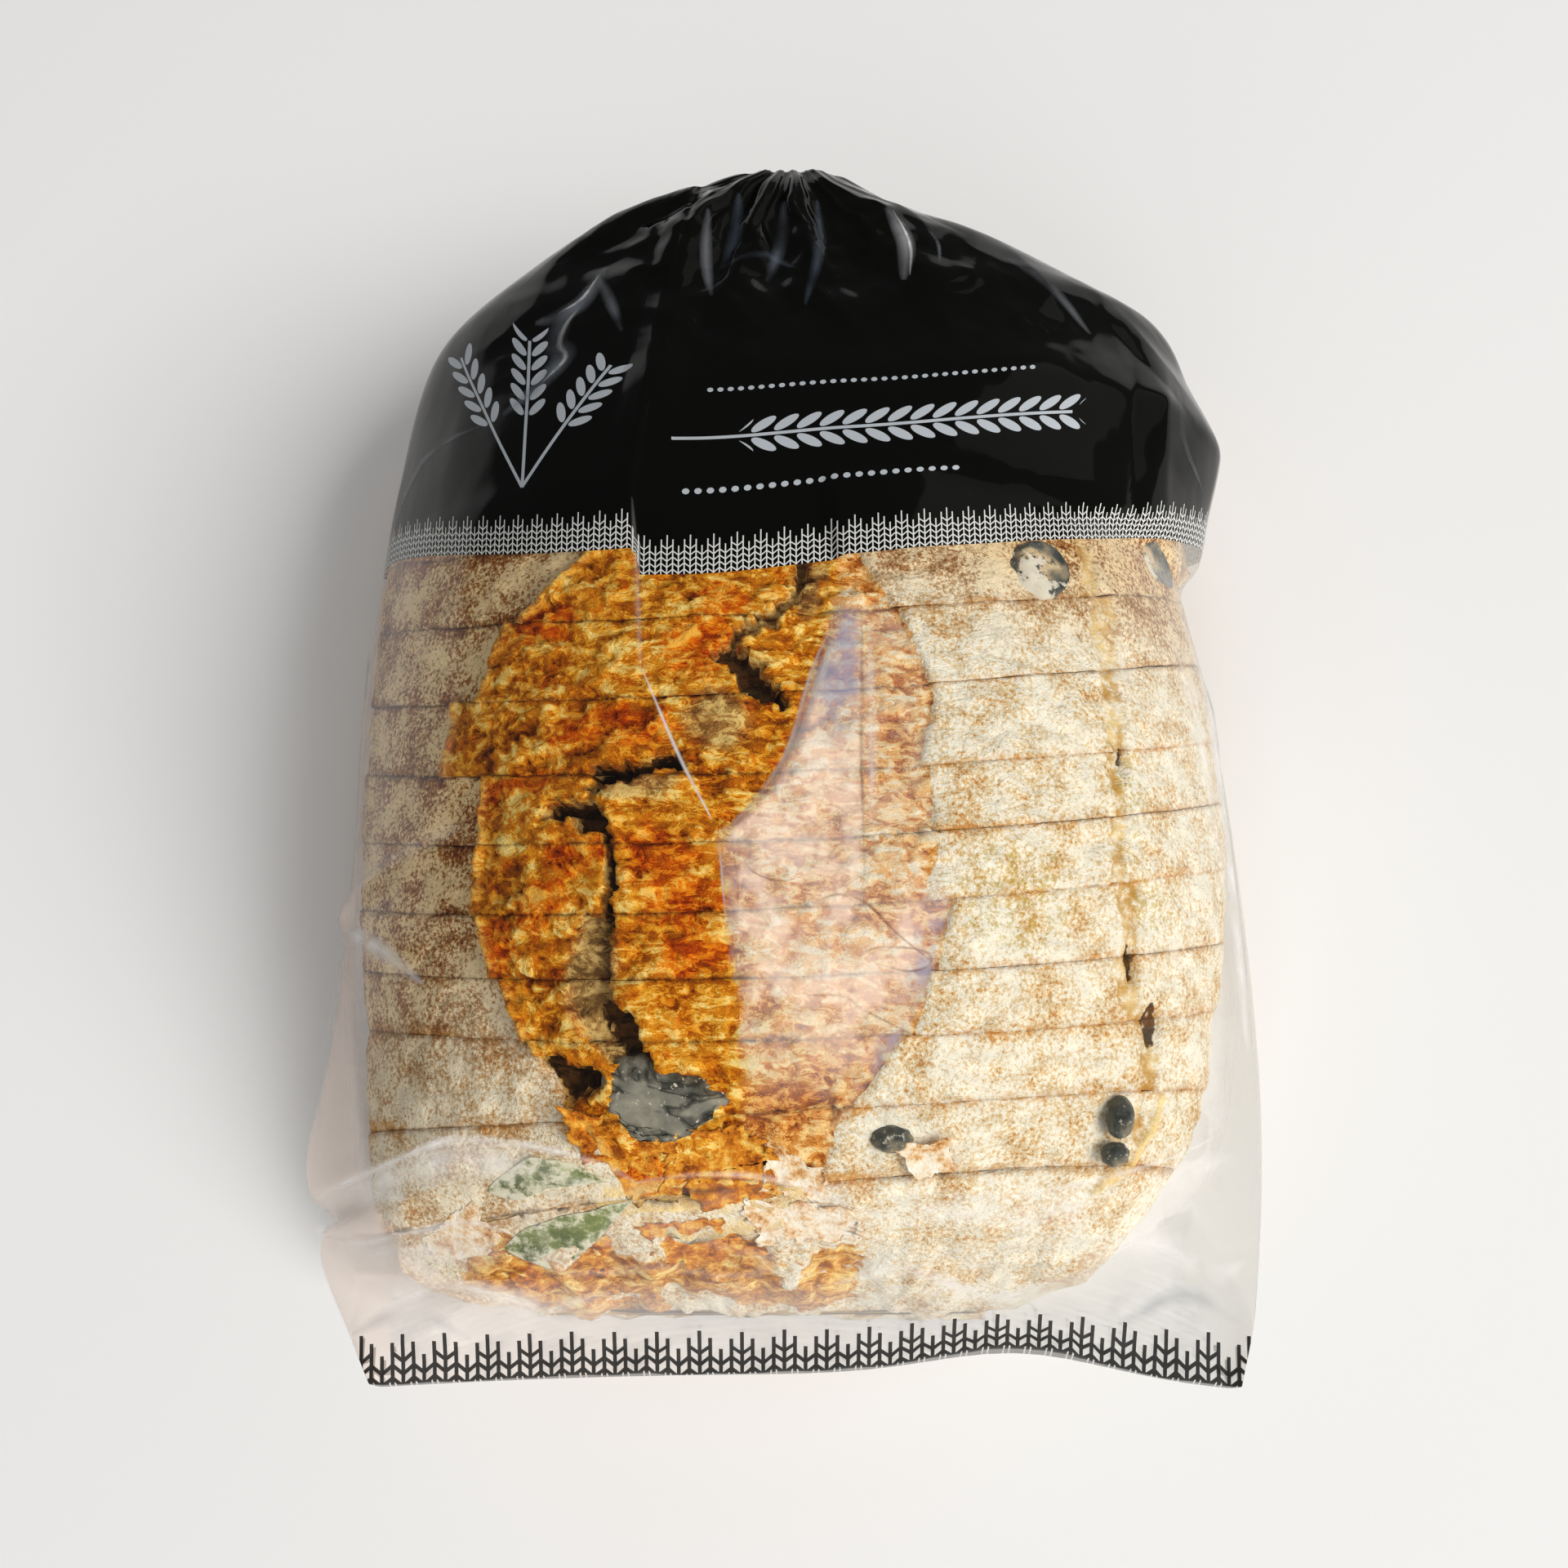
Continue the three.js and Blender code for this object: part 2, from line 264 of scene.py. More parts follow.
# Greyer open crumb, and rust-brown baked parts, in the torn crust: middle in plan and half sizes
CRUMB_PATCHES = [
    ((-14, -9), (8, 7)), ((5, 21), (3.5, 8)), ((-29, -22.5), (8, 3.4)), ((-39, -60), (6, 12)),
]
BURNT_PATCHES = [
    ((-18, 7), (9, 8)), ((-13, 17), (7, 5)), ((17, 24), (4, 7)), ((-36, -10), (15, 5.5)),
    ((-43, -36), (7, 6)), ((-49, -45), (5, 6)), ((-40, -66), (4, 8)), ((-26, -38), (9, 8)),
    ((-20, -47), (10, 6)), ((-18, -57), (9, 4)), ((-54, -19), (14, 3)), ((3, -18), (7, 5)),
    ((-30, -95), (8, 2)), ((-50, 14), (8, 5)), ((-58, -52), (4, 7)),
]
# Thin edges of layered crust at the front: corners in plan
LAYER_EDGES = [
    [(-36, -97.6), (-22, -96.2), (-5, -96.4), (6, -97.6)],
    [(-38, -99.6), (-22, -100.2), (-3, -99.4), (7, -98.4)],
    [(-30, -103), (-15, -103.6), (0, -102.2)],
    [(78.5, -75), (76.5, -82), (72.5, -88.5), (65, -93.5)],
]
LAYER_HEIGHT = 1.1
TORN_LIP_HEIGHT = 1.0
# A second, closed score runs down the right of the loaf
SCORE_LINE = [(66, 40), (68.3, -2.9), (70.5, -21.6), (70.2, -40), (71.5, -55), (74.8, -68), (73.5, -84)]
SCORE_HALF_WIDTH = 2.6
SCORE_DEPTH = 0.8
SCORE_HOLE_DEPTH = 2.2
SCORE_HOLES = [((70.5, -9.7), (1.2, 4.0)), ((72.4, -51.7), (1.2, 5.0)), ((76.8, -62.6), (2.0, 5.0))]
# Places where the olives' oil has stained the flour
STAINS = [((46.4, -44), (13, 13)), ((71, -16), (5, 18)), ((76.8, -38), (7, 7))]

# Noise shared by every relief
NOISE_SEED = 7
_draw = np.random.default_rng(NOISE_SEED)
PERMUTATION = _draw.permutation(256)
GRADIENTS = _draw.normal(size=(256, 3))
GRADIENTS /= np.linalg.norm(GRADIENTS, axis=1, keepdims=True)
LEVELS = _draw.uniform(-1, 1, size=(256, 5))


def keyed(keys, at):
    """A smooth curve through (position, value) keys, read at an array of positions."""
    table = np.asarray(keys, float)
    place, value = table[:, 0], table[:, 1]
    last = len(place) - 1
    before = np.clip(np.arange(last + 1) - 1, 0, last)
    after = np.clip(np.arange(last + 1) + 1, 0, last)
    slope = (value[after] - value[before]) / (place[after] - place[before])
    i = np.clip(np.searchsorted(place, at, side="right") - 1, 0, last - 1)
    span = place[i + 1] - place[i]
    t = np.clip((at - place[i]) / span, 0, 1)
    rise = value[i + 1] - value[i]
    a, b = slope[i] * span, slope[i + 1] * span
    return value[i] + t * a + t * t * (3 * rise - 2 * a - b) + t ** 3 * (a + b - 2 * rise)


def smoothstep(low, high, at):
    t = np.clip((at - low) / (high - low), 0, 1)
    return t * t * (3 - 2 * t)


def noise(points, scale, seed=0):
    """Gradient noise from about -1 to 1, with features about `scale` mm apart."""
    place = points / scale + seed * 17.31
    cell = np.floor(place).astype(np.int64)
    part = place - cell
    fade = part ** 3 * (part * (part * 6 - 15) + 10)
    total = np.zeros(len(points))
    for corner in itertools.product((0, 1), repeat=3):
        cx, cy, cz = (cell + corner).T & 255
        pick = PERMUTATION[(PERMUTATION[(PERMUTATION[cx] + cy) & 255] + cz) & 255]
        weight = np.prod(np.where(corner, fade, 1 - fade), axis=1)
        total += weight * np.einsum("ij,ij->i", GRADIENTS[pick], part - corner)
    return total * 1.6


def layered_noise(points, scale, octaves, seed=0, gain=0.5):
    total, strength = np.zeros(len(points)), 1.0
    for octave in range(octaves):
        total += strength * noise(points, scale / 2 ** octave, seed + octave)
        strength *= gain
    return total


def flakes(x, y, size, seed=0):
    """Broken flakes about `size` mm across and along: each point's level, and 0 at a flake's edge."""
    px, py = x / size[0], y / size[1]
    cx, cy = np.floor(px).astype(np.int64), np.floor(py).astype(np.int64)
    nearest, second, level = np.full(x.shape, 9.0), np.full(x.shape, 9.0), np.zeros(x.shape)
    for dx, dy in itertools.product((-1, 0, 1), repeat=2):
        pick = PERMUTATION[(PERMUTATION[(cx + dx + seed) & 255] + cy + dy) & 255]
        shift_x, shift_y, height, tilt_x, tilt_y = LEVELS[pick].T
        ox, oy = px - (cx + dx + 0.5 + 0.42 * shift_x), py - (cy + dy + 0.5 + 0.42 * shift_y)
        gap = np.hypot(ox, oy)
        closer = gap < nearest
        second = np.where(closer, nearest, np.minimum(second, gap))
        level = np.where(closer, height + 1.1 * (tilt_x * ox + tilt_y * oy), level)
        nearest = np.where(closer, gap, nearest)
    return level, second - nearest


def line_gap(x, y, corners):
    """Distance in plan to a line of corners, and the share of the line where that lies."""
    best, share = np.full(x.shape, 1e9), np.zeros(x.shape)
    steps = len(corners) - 1
    for i, (start, end) in enumerate(zip(corners, corners[1:])):
        dx, dy = end[0] - start[0], end[1] - start[1]
        run = np.clip(((x - start[0]) * dx + (y - start[1]) * dy) / (dx * dx + dy * dy), 0, 1)
        gap = np.hypot(x - start[0] - run * dx, y - start[1] - run * dy)
        share = np.where(gap < best, (i + run) / steps, share)
        best = np.minimum(best, gap)
    return best, share


def in_plan(x, y):
    """Points in plan, at no height."""
    return np.stack([x, y, np.zeros(len(x))], axis=1)


def patch(x, y, middle, half_sizes):
    """1 in the middle of an oval patch, falling to 0 at its edge."""
    away = np.hypot((x - middle[0]) / half_sizes[0], (y - middle[1]) / half_sizes[1])
    return 1 - smoothstep(0.55, 1.15, away)


# The film's form

def seam_nearness(y):
    return np.maximum(0, 1 - (y - SEAM_Y) / SEAM_REACH)


def bay_at(x):
    return np.exp(-(((x - SEAM_BAY_X) / SEAM_BAY_WIDTH) ** 2))


def seam_shift(x, y):
    pull = SEAM_PULL * np.maximum(0, 1 - (x / SEAM_HALF_WIDTH) ** 2)
    return (pull + SEAM_BAY_DEPTH * bay_at(x)) * seam_nearness(y) ** 2


def seam_lift(x, y):
    wave = 0.5 + 0.5 * np.sin(2 * math.pi * x / SEAM_WAVE_LENGTH + SEAM_WAVE_PHASE)
    ripple = SEAM_RIPPLE_HEIGHT * np.sin(2 * math.pi * x / SEAM_RIPPLE_LENGTH + 2 * SEAM_WAVE_PHASE)
    return (SEAM_WAVE_HEIGHT * (wave + 0.5 + ripple) + SEAM_BAY_LIFT * bay_at(x)) * seam_nearness(y)


def pleat_lift(x, y):
    total = np.zeros(x.shape)
    dx, dy = x - PLEAT_HUB[0], PLEAT_HUB[1] - y
    radius, angle = np.hypot(dx, dy), np.degrees(np.arctan2(dx, dy))
    for degrees, size, seed in PLEAT_WANDER:
        angle = angle + degrees * noise(in_plan(x, y), size, seed)
    for pleat in PLEATS:
        off = np.minimum(1, np.abs(angle - pleat.angle) / pleat.spread)
        down = np.maximum(0, 1 - radius / pleat.reach)
        total += pleat.height * (1 - off) * down * np.minimum(1, radius / PLEAT_FULL_RADIUS)
    return total


def crease_lift(x, y):
    total = np.zeros(x.shape)
    for crease in CREASES:
        gap, run = line_gap(x, y, [crease.start, crease.end])
        across = np.maximum(0, 1 - gap / crease.width)
        total += crease.height * across * np.minimum(1, run / CREASE_FULL_SHARE)
    return total


def line_x(line, y):
    """The x of a line in plan at places along it; the line runs from the back to the front."""
    corners = np.asarray(line[::-1], float)
    return np.interp(y, corners[:, 1], corners[:, 0])


def left_of_pleat(x, y):
    """1 left of the long pleat's line, 0 right of it, across a millimetre."""
    at = line_x(PLEAT_LINE, y)
    return 1 - smoothstep(at - 0.5, at + 0.5, x)


def right_of_arc(x, y, softness=1.0):
    """0 left of the arc, 1 right of it, across a few millimetres."""
    at = line_x(ARC, y)
    return smoothstep(at - 0.4 * softness, at + softness, x)


def crumple_amount(x, y):
    """Where the film is crumpled: round the neck, at the sides and in the bottom corners."""
    neck = smoothstep(60, 125, y)
    sides = smoothstep(78, 96, np.abs(x)) * 0.7
    corners = smoothstep(60, 92, np.abs(x)) * smoothstep(-70, -105, y)
    front = smoothstep(-88, -118, y) * 0.55
    return np.clip(neck + sides + corners + front, 0, 1)


def plain_height(s, y):
    """The top sheet's height without its folds."""
    edge = keyed(EDGE_HEIGHT, y)
    return edge + (keyed(CREST, y) - edge) * (1 - np.abs(s) ** DOME_POWER) ** DOME_ROUNDNESS


def top_height(s, x, y):
    rim = np.minimum(1, (1 - np.abs(s)) / RIM_SHARE)
    flat = in_plan(x, y)
    ridged = 0.45 - np.abs(noise(flat * (1.0, 0.72, 1.0), RIDGE_SIZE, 3))
    fine = 0.4 - np.abs(noise(flat, RIPPLE_SIZE, 5))
    folds = pleat_lift(x, y) + crease_lift(x, y)
    folds = folds + PLEAT_STEP * left_of_pleat(x, y) * smoothstep(20, 40, y)
    crumple = crumple_amount(x, y) * (RIDGE_HEIGHT * ridged + RIPPLE_HEIGHT * fine)
    folds += crumple + SWELL_HEIGHT * noise(flat, SWELL_SIZE, 9)
    gap, run = line_gap(x, y, PLEAT_TAIL)
    folds += PLEAT_TAIL_HEIGHT * np.maximum(0, 1 - gap / PLEAT_TAIL_HALF_WIDTH) * (0.3 + 0.7 * run)
    inside = smoothstep(-78, -60, y) * (1 - smoothstep(30, 60, y)) * (1 - smoothstep(24, 46, x))
    folds += ARC_LIFT * right_of_arc(x, y, 2.5) * inside
    return plain_height(s, y) + folds * rim + seam_lift(x, y)


def under_height(s, x, y):
    flat = keyed(FLAT_SHARE, y)
    low = np.maximum(0, keyed(UNDERSIDE, y))
    rise = np.maximum(0, (np.abs(s) - flat) / (1 - flat)) ** UNDER_CURVE
    return low + (keyed(EDGE_HEIGHT, y) - low) * rise + seam_lift(x, y) * rise


def film_share(x, y):
    """How far a point in plan lies across the film, from -1 at its left edge to 1 at its right."""
    left, right = keyed(LEFT_EDGE, y), keyed(RIGHT_EDGE, y)
    return np.clip((2 * x - left - right) / (right - left), -1, 1)


def film_over(x, y):
    """The top sheet's height above a point in plan."""
    return top_height(film_share(x, y), x, y)


def film_under(x, y):
    """The under sheet's height below a point in plan."""
    return under_height(film_share(x, y), x, y)


def frame_shift():
    """What moves the form's own millimetres into the frame's, where the footprint is centred."""
    y = np.linspace(SEAM_Y, HUB_Y, 600)
    middle = (keyed(LEFT_EDGE, y).min() + keyed(RIGHT_EDGE, y).max()) / 2
    return np.array([-middle, BAG_LOW.y * PER_METRE - SEAM_Y, 0.0])


SHIFT = frame_shift()


# Meshes made with bmesh operators

@contextmanager
def edited(mesh):
    """Opens a mesh for bmesh operators, and writes it back."""
    bm = bmesh.new()
    bm.from_mesh(mesh)
    yield bm
    bm.to_mesh(mesh)
    bm.free()


def vertex_places(mesh):
    flat = np.zeros(len(mesh.vertices) * 3)
    mesh.vertices.foreach_get("co", flat)
    return flat.reshape(-1, 3)


def grid_mesh(name, columns, rows):
    """A flat grid, with every vertex's column and row."""
    mesh = bpy.data.meshes.new(name)
    with edited(mesh) as bm:
        bmesh.ops.create_grid(bm, x_segments=columns, y_segments=rows, size=0.5)
    places = vertex_places(mesh) + 0.5
    across = np.rint(places[:, 0] * columns).astype(int)
    along = np.rint(places[:, 1] * rows).astype(int)
    return mesh, across, along


def place_vertices(mesh, points_mm):
    mesh.vertices.foreach_set("co", ((points_mm + SHIFT) * MM).ravel())
    mesh.update()


def paint(mesh, name, values):
    """A float for each vertex, which materials read by name."""
    layer = mesh.attributes.new(name, "FLOAT", "POINT")
    layer.data.foreach_set("value", np.asarray(values, np.float32))


def set_uv(mesh, name, u, v):
    layer = mesh.uv_layers.new(name=name)
    corner = np.zeros(len(mesh.loops), int)
    mesh.loops.foreach_get("vertex_index", corner)
    layer.data.foreach_set("uv", np.stack([u[corner], v[corner]], axis=1).ravel())


def add_object(name, mesh, material):
    piece = bpy.data.objects.new(name, mesh)
    bpy.context.scene.collection.objects.link(piece)
    mesh.materials.append(material)
    mesh.shade_smooth()
    return piece


def weld(mesh, fill=False):
    """Merges doubled vertices, closes open ends if asked, and turns faces outwards."""
    with edited(mesh) as bm:
        bmesh.ops.remove_doubles(bm, verts=bm.verts, dist=WELD_DISTANCE)
        bmesh.ops.dissolve_degenerate(bm, edges=bm.edges, dist=0.2 * WELD_DISTANCE)
        if fill:
            open_edges = [edge for edge in bm.edges if edge.is_boundary]
            filled = bmesh.ops.holes_fill(bm, edges=open_edges, sides=0)
            bmesh.ops.triangulate(bm, faces=filled["faces"])
        bmesh.ops.recalc_face_normals(bm, faces=bm.faces)


def thicken(piece, thickness):
    """Gives an open sheet its thickness, downwards, in its own mesh."""
    with edited(piece.data) as bm:
        made = bmesh.ops.extrude_face_region(bm, geom=bm.faces[:], use_keep_orig=True)
        lower = [thing for thing in made["geom"] if isinstance(thing, bmesh.types.BMVert)]
        bmesh.ops.translate(bm, verts=lower, vec=(0, 0, -thickness))
        bmesh.ops.recalc_face_normals(bm, faces=bm.faces)
    piece.data.shade_smooth()


def dress(piece):
    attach(piece, "root")
    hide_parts("bag")


# Shader nodes

def feed(tree, socket, value):
    """Links a node's output to a socket, or sets the socket to a number or a colour."""
    if hasattr(value, "is_linked"):
        tree.links.new(value, socket)
    elif isinstance(value, (int, float)):
        socket.default_value = value
    else:
        socket.default_value = (*value, 1.0)


class Sums:
    """Adds Math nodes to a node tree."""

    def __init__(self, tree):
        self.tree = tree

    def __call__(self, operation, *values, clamp=False):
        node = self.tree.nodes.new("ShaderNodeMath")
        node.operation = operation
        node.use_clamp = clamp
        for socket, value in zip(node.inputs, values):
            feed(self.tree, socket, value)
        return node.outputs[0]

    def plus(self, value, other, share):
        """A value with a share of another added."""
        return self("ADD", value, self("MULTIPLY", other, share))

    def swing(self, value, middle, share):
        """How far a value lies from its middle, times a share."""
        return self("MULTIPLY", self("SUBTRACT", value, middle), share)


def new_material(name, roughness, specular=0.5):
    """A material with a plain finish, its node tree, its shader and its math helper."""
    material = bpy.data.materials.new(name)
    material.use_nodes = True
    tree = material.node_tree
    shader = tree.nodes["Principled BSDF"]
    shader.inputs["Roughness"].default_value = roughness
    shader.inputs["Specular IOR Level"].default_value = specular
    return material, tree, shader, Sums(tree)


def attribute(tree, name):
    node = tree.nodes.new("ShaderNodeAttribute")
    node.attribute_name = name
    return node.outputs["Fac"]


# A noise texture's features for each metre, how fine and how rough it is, how it is bent, and how its
# coordinates are stretched and turned
Texture = namedtuple("Texture", "scale detail roughness distortion stretch turn",
                     defaults=(0.0, (1, 1, 1), (0, 0, 0)))


def noise_value(tree, texture):
    """A noise texture on Object coordinates."""
    place = tree.nodes.new("ShaderNodeTexCoord")
    mapping = tree.nodes.new("ShaderNodeMapping")
    mapping.inputs["Scale"].default_value = texture.stretch
    mapping.inputs["Rotation"].default_value = texture.turn
    tree.links.new(place.outputs["Object"], mapping.inputs["Vector"])
    node = tree.nodes.new("ShaderNodeTexNoise")
    for name in ("Scale", "Detail", "Roughness", "Distortion"):
        node.inputs[name].default_value = getattr(texture, name.lower())
    tree.links.new(mapping.outputs["Vector"], node.inputs["Vector"])
    return node.outputs["Fac"]


def ramp(tree, value, stops):
    """A colour ramp with stops of place, red, green and blue."""
    node = tree.nodes.new("ShaderNodeValToRGB")
    elements = node.color_ramp.elements
    while len(elements) < len(stops):
        elements.new(0.5)
    for element, (place, *colour) in zip(elements, stops):
        element.position = place
        element.color = (*shade(*colour), 1.0)
    tree.links.new(value, node.inputs["Fac"])
    return node.outputs["Color"]


def stretch_range(tree, value, low, high, to_low=0.0, to_high=1.0):
    """A value's range from low to high, smoothly stretched over another."""
    node = tree.nodes.new("ShaderNodeMapRange")
    node.interpolation_type = "SMOOTHSTEP"
    for name, number in (("From Min", low), ("From Max", high), ("To Min", to_low), ("To Max", to_high)):
        node.inputs[name].default_value = number
    tree.links.new(value, node.inputs["Value"])
    return node.outputs["Result"]


def mix(tree, factor, first, second):
    """From the first colour to the second, by a factor."""
    node = tree.nodes.new("ShaderNodeMix")
    node.data_type = "RGBA"
    for name, value in (("Factor", factor), ("A", first), ("B", second)):
        feed(tree, node.inputs[name], value)
    return node.outputs["Result"]


def bump(tree, shader, height, distance, strength):
    node = tree.nodes.new("ShaderNodeBump")
    node.inputs["Distance"].default_value = distance
    node.inputs["Strength"].default_value = strength
    tree.links.new(height, node.inputs["Height"])
    tree.links.new(node.outputs["Normal"], shader.inputs["Normal"])
    return node.outputs["Normal"]


def shade(red, green, blue):
    """A screen colour from 0 to 255 as the linear colour that nodes take."""
    def linear(channel):
        c = channel / 255
        return c / 12.92 if c <= 0.04045 else ((c + 0.055) / 1.055) ** 2.4
    return (linear(red), linear(green), linear(blue))


def node_group(name, inputs, outputs):
    """A new shader group with named float sockets, and its math helper."""
    tree = bpy.data.node_groups.new(name, "ShaderNodeTree")
    for socket in inputs:
        tree.interface.new_socket(socket, in_out="INPUT", socket_type="NodeSocketFloat")
    for socket in outputs:
        tree.interface.new_socket(socket, in_out="OUTPUT", socket_type="NodeSocketFloat")
    return tree, tree.nodes.new("NodeGroupInput"), tree.nodes.new("NodeGroupOutput"), Sums(tree)


def use_group(tree, group, **values):
    """Places a group with its sockets' values; a socket's name has _ for each space."""
    node = tree.nodes.new("ShaderNodeGroup")
    node.node_tree = group
    for name, value in values.items():
        feed(tree, node.inputs[name.replace("_", " ")], value)
    return node.outputs[0]


# Printed patterns, drawn by distance across (U) and along (V) the film in millimetres

def wheat_border_group():
    """Rows of wheat ears on stems, from V = 0 up, one unit of Scale being the top band's size."""
    tree, given, result, sums = node_group("wheat_border", ["U", "V", "Scale", "Stroke"], ["Mask"])
    scale, stroke = given.outputs["Scale"], given.outputs["Stroke"]
    u = sums("DIVIDE", sums("DIVIDE", given.outputs["U"], scale), STEM_PITCH)
    v = sums("DIVIDE", given.outputs["V"], scale)
    nearest = sums("ROUND", u)
    off_stem = sums("ABSOLUTE", sums("SUBTRACT", u, nearest))
    kind = sums("FLOORED_MODULO", nearest, 4)
    rise = sums("MULTIPLY", sums("COMPARE", kind, 0, 0.1), TALL_STEM_RISE)
    drop = sums("MULTIPLY", sums("COMPARE", kind, 2, 0.1), SHORT_STEM_DROP)
    height = sums("ADD", STEM_HEIGHT, sums("SUBTRACT", rise, drop))
    stem = sums("MULTIPLY", sums("LESS_THAN", off_stem, stroke), sums("LESS_THAN", v, height))
    ear = sums("ROUND", sums("MULTIPLY", u, 0.5))
    off_ear = sums("ABSOLUTE", sums("SUBTRACT", u, sums("MULTIPLY", ear, 2)))
    slanted = sums("SUBTRACT", v, sums("MULTIPLY", off_ear, BARB_SLANT))
    row = sums("FRACT", sums("DIVIDE", slanted, BARB_PITCH))
    is_short = sums("COMPARE", sums("FLOORED_MODULO", ear, 2), 1, 0.1)
    top = sums("ADD", sums("SUBTRACT", EAR_TOP, sums("MULTIPLY", is_short, SHORT_STEM_DROP)), off_ear)
    drawn = sums("LESS_THAN", row, sums("MULTIPLY", stroke, BARB_STROKES))
    barb = sums("MULTIPLY", drawn, sums("LESS_THAN", v, top))
    mask = sums("MULTIPLY", sums("MAXIMUM", stem, barb), sums("GREATER_THAN", v, 0))
    tree.links.new(mask, result.inputs["Mask"])
    return tree


def dotted_line_group():
    """A row of round dots between two U values, centred on one V value."""
    names = ["U", "V", "From", "To", "Level", "Pitch"]
    tree, given, result, sums = node_group("dotted_line", names, ["Mask"])
    u, v, start, end, level, pitch = (given.outputs[name] for name in names)
    cell = sums("FRACT", sums("DIVIDE", sums("SUBTRACT", u, start), pitch))
    off = sums("POWER", sums("ABSOLUTE", sums("SUBTRACT", cell, 0.5)), 2)
    rise = sums("POWER", sums("ABSOLUTE", sums("DIVIDE", sums("SUBTRACT", v, level), pitch)), 2)
    dot = sums("LESS_THAN", sums("ADD", off, rise), DOT_RADIUS_SHARE ** 2)
    inside = sums("MULTIPLY", sums("GREATER_THAN", u, start), sums("LESS_THAN", u, end))
    tree.links.new(sums("MULTIPLY", dot, inside), result.inputs["Mask"])
    return tree


def sprig_group():
    """One wheat sprig on its stalk, standing on a foot and leaning by an angle in radians."""
    names = ["U", "V", "Foot U", "Foot V", "Lean", "Length", "Stalk", "Size"]
    tree, given, result, sums = node_group("sprig", names, ["Mask"])
    u, v, foot_u, foot_v, lean, length, bare, size = (given.outputs[name] for name in names)
    du = sums("DIVIDE", sums("SUBTRACT", u, foot_u), size)
    dv = sums("DIVIDE", sums("SUBTRACT", v, foot_v), size)
    cosine, sine = sums("COSINE", lean), sums("SINE", lean)
    side = sums("SUBTRACT", sums("MULTIPLY", du, cosine), sums("MULTIPLY", dv, sine))
    rise = sums("ADD", sums("MULTIPLY", du, sine), sums("MULTIPLY", dv, cosine))
    out = sums("ABSOLUTE", side)
    stalk = sums("MULTIPLY", sums("LESS_THAN", out, STALK_HALF_WIDTH), sums("GREATER_THAN", rise, 0))
    stalk = sums("MULTIPLY", stalk, sums("LESS_THAN", rise, length))
    slanted = sums("SUBTRACT", rise, sums("MULTIPLY", out, GRAIN_SLANT))
    row = sums("SUBTRACT", sums("FRACT", sums("DIVIDE", slanted, GRAIN_PITCH)), 0.5)
    wide = sums("DIVIDE", sums("SUBTRACT", out, GRAIN_FROM_STALK), GRAIN_HALF_WIDTH)
    tall = sums("DIVIDE", row, GRAIN_HALF_LENGTH)
    square = [sums("POWER", sums("ABSOLUTE", share), 2) for share in (wide, tall)]
    grain = sums("LESS_THAN", sums("ADD", *square), 1)
    head = sums("MULTIPLY", sums("GREATER_THAN", slanted, bare), sums("LESS_THAN", slanted, length))
    tree.links.new(sums("MAXIMUM", stalk, sums("MULTIPLY", grain, head)), result.inputs["Mask"])
    return tree


# Design in place of lettering: dotted lines as (from, to, level, pitch), and wheat sprigs as
# (foot across, foot along, lean in degrees, length, bare stalk, size)
DESIGN_DOTS = [(-17.0, 56.0, 50.5, 2.2), (-22.0, 38.0, 21.0, 2.6)]
DESIGN_SPRIGS = [
    (-58.0, 17.0, -30, 40.0, 18.0, 1.0), (-58.0, 17.0, 0, 42.0, 17.0, 1.0),
    (-58.0, 17.0, 30, 40.0, 18.0, 1.0), (-24.0, 36.0, 90, 80.0, 12.0, 1.1),
]


def printed_design(tree, sums, u, above):
    """The mask of all the dotted lines and sprigs."""
    dots, sprig = dotted_line_group(), sprig_group()
    marks = [use_group(tree, dots, U=u, V=above, From=start, To=end, Level=level, Pitch=pitch)
             for start, end, level, pitch in DESIGN_DOTS]
    marks += [use_group(tree, sprig, U=u, V=above, Foot_U=foot_u, Foot_V=foot_v, Lean=math.radians(lean),
                        Length=length, Stalk=bare, Size=size)
              for foot_u, foot_v, lean, length, bare, size in DESIGN_SPRIGS]
    design = marks[0]
    for mark in marks[1:]:
        design = sums("MAXIMUM", design, mark)
    return design


# Noise textures of the finishes
CLOUDY_DUST_AND_SHEEN = Texture(130.0, 3.0, 0.65, stretch=(1, 0.8, 1))
FILM_WRINKLES = Texture(80.0, 1.5, 0.5, stretch=(1, 0.55, 1))
CRUST_GRAIN = Texture(1150.0, 3.0, 0.74)
CRUST_SCALES = Texture(270.0, 5.4, 0.76, 0.5, stretch=(0.7, 1, 1))
CRUST_FIBRES = Texture(420.0, 3.4, 0.74, 0.7, stretch=(0.5, 1.1, 0.9), turn=(0, 0, 0.3))
UNEVEN_BAKE = Texture(120.0, 2.0, 0.6)
RAGGED_EDGES = Texture(480.0, 1.6, 0.6)
OLIVE_BLOTCHES = Texture(260.0, 4.0, 0.6)
OLIVE_CREASES = Texture(120.0, 2.0, 0.5, 1.2, stretch=(0.5, 1, 1), turn=(0, 0, 0.6))
OLIVE_FLOUR = Texture(700.0, 4.0, 0.65)
LEAF_TONE = Texture(190.0, 4.0, 0.6)
LEAF_FLOUR = Texture(380.0, 4.0, 0.7)
FLAKE_GRAIN = Texture(330.0, 5.0, 0.7)

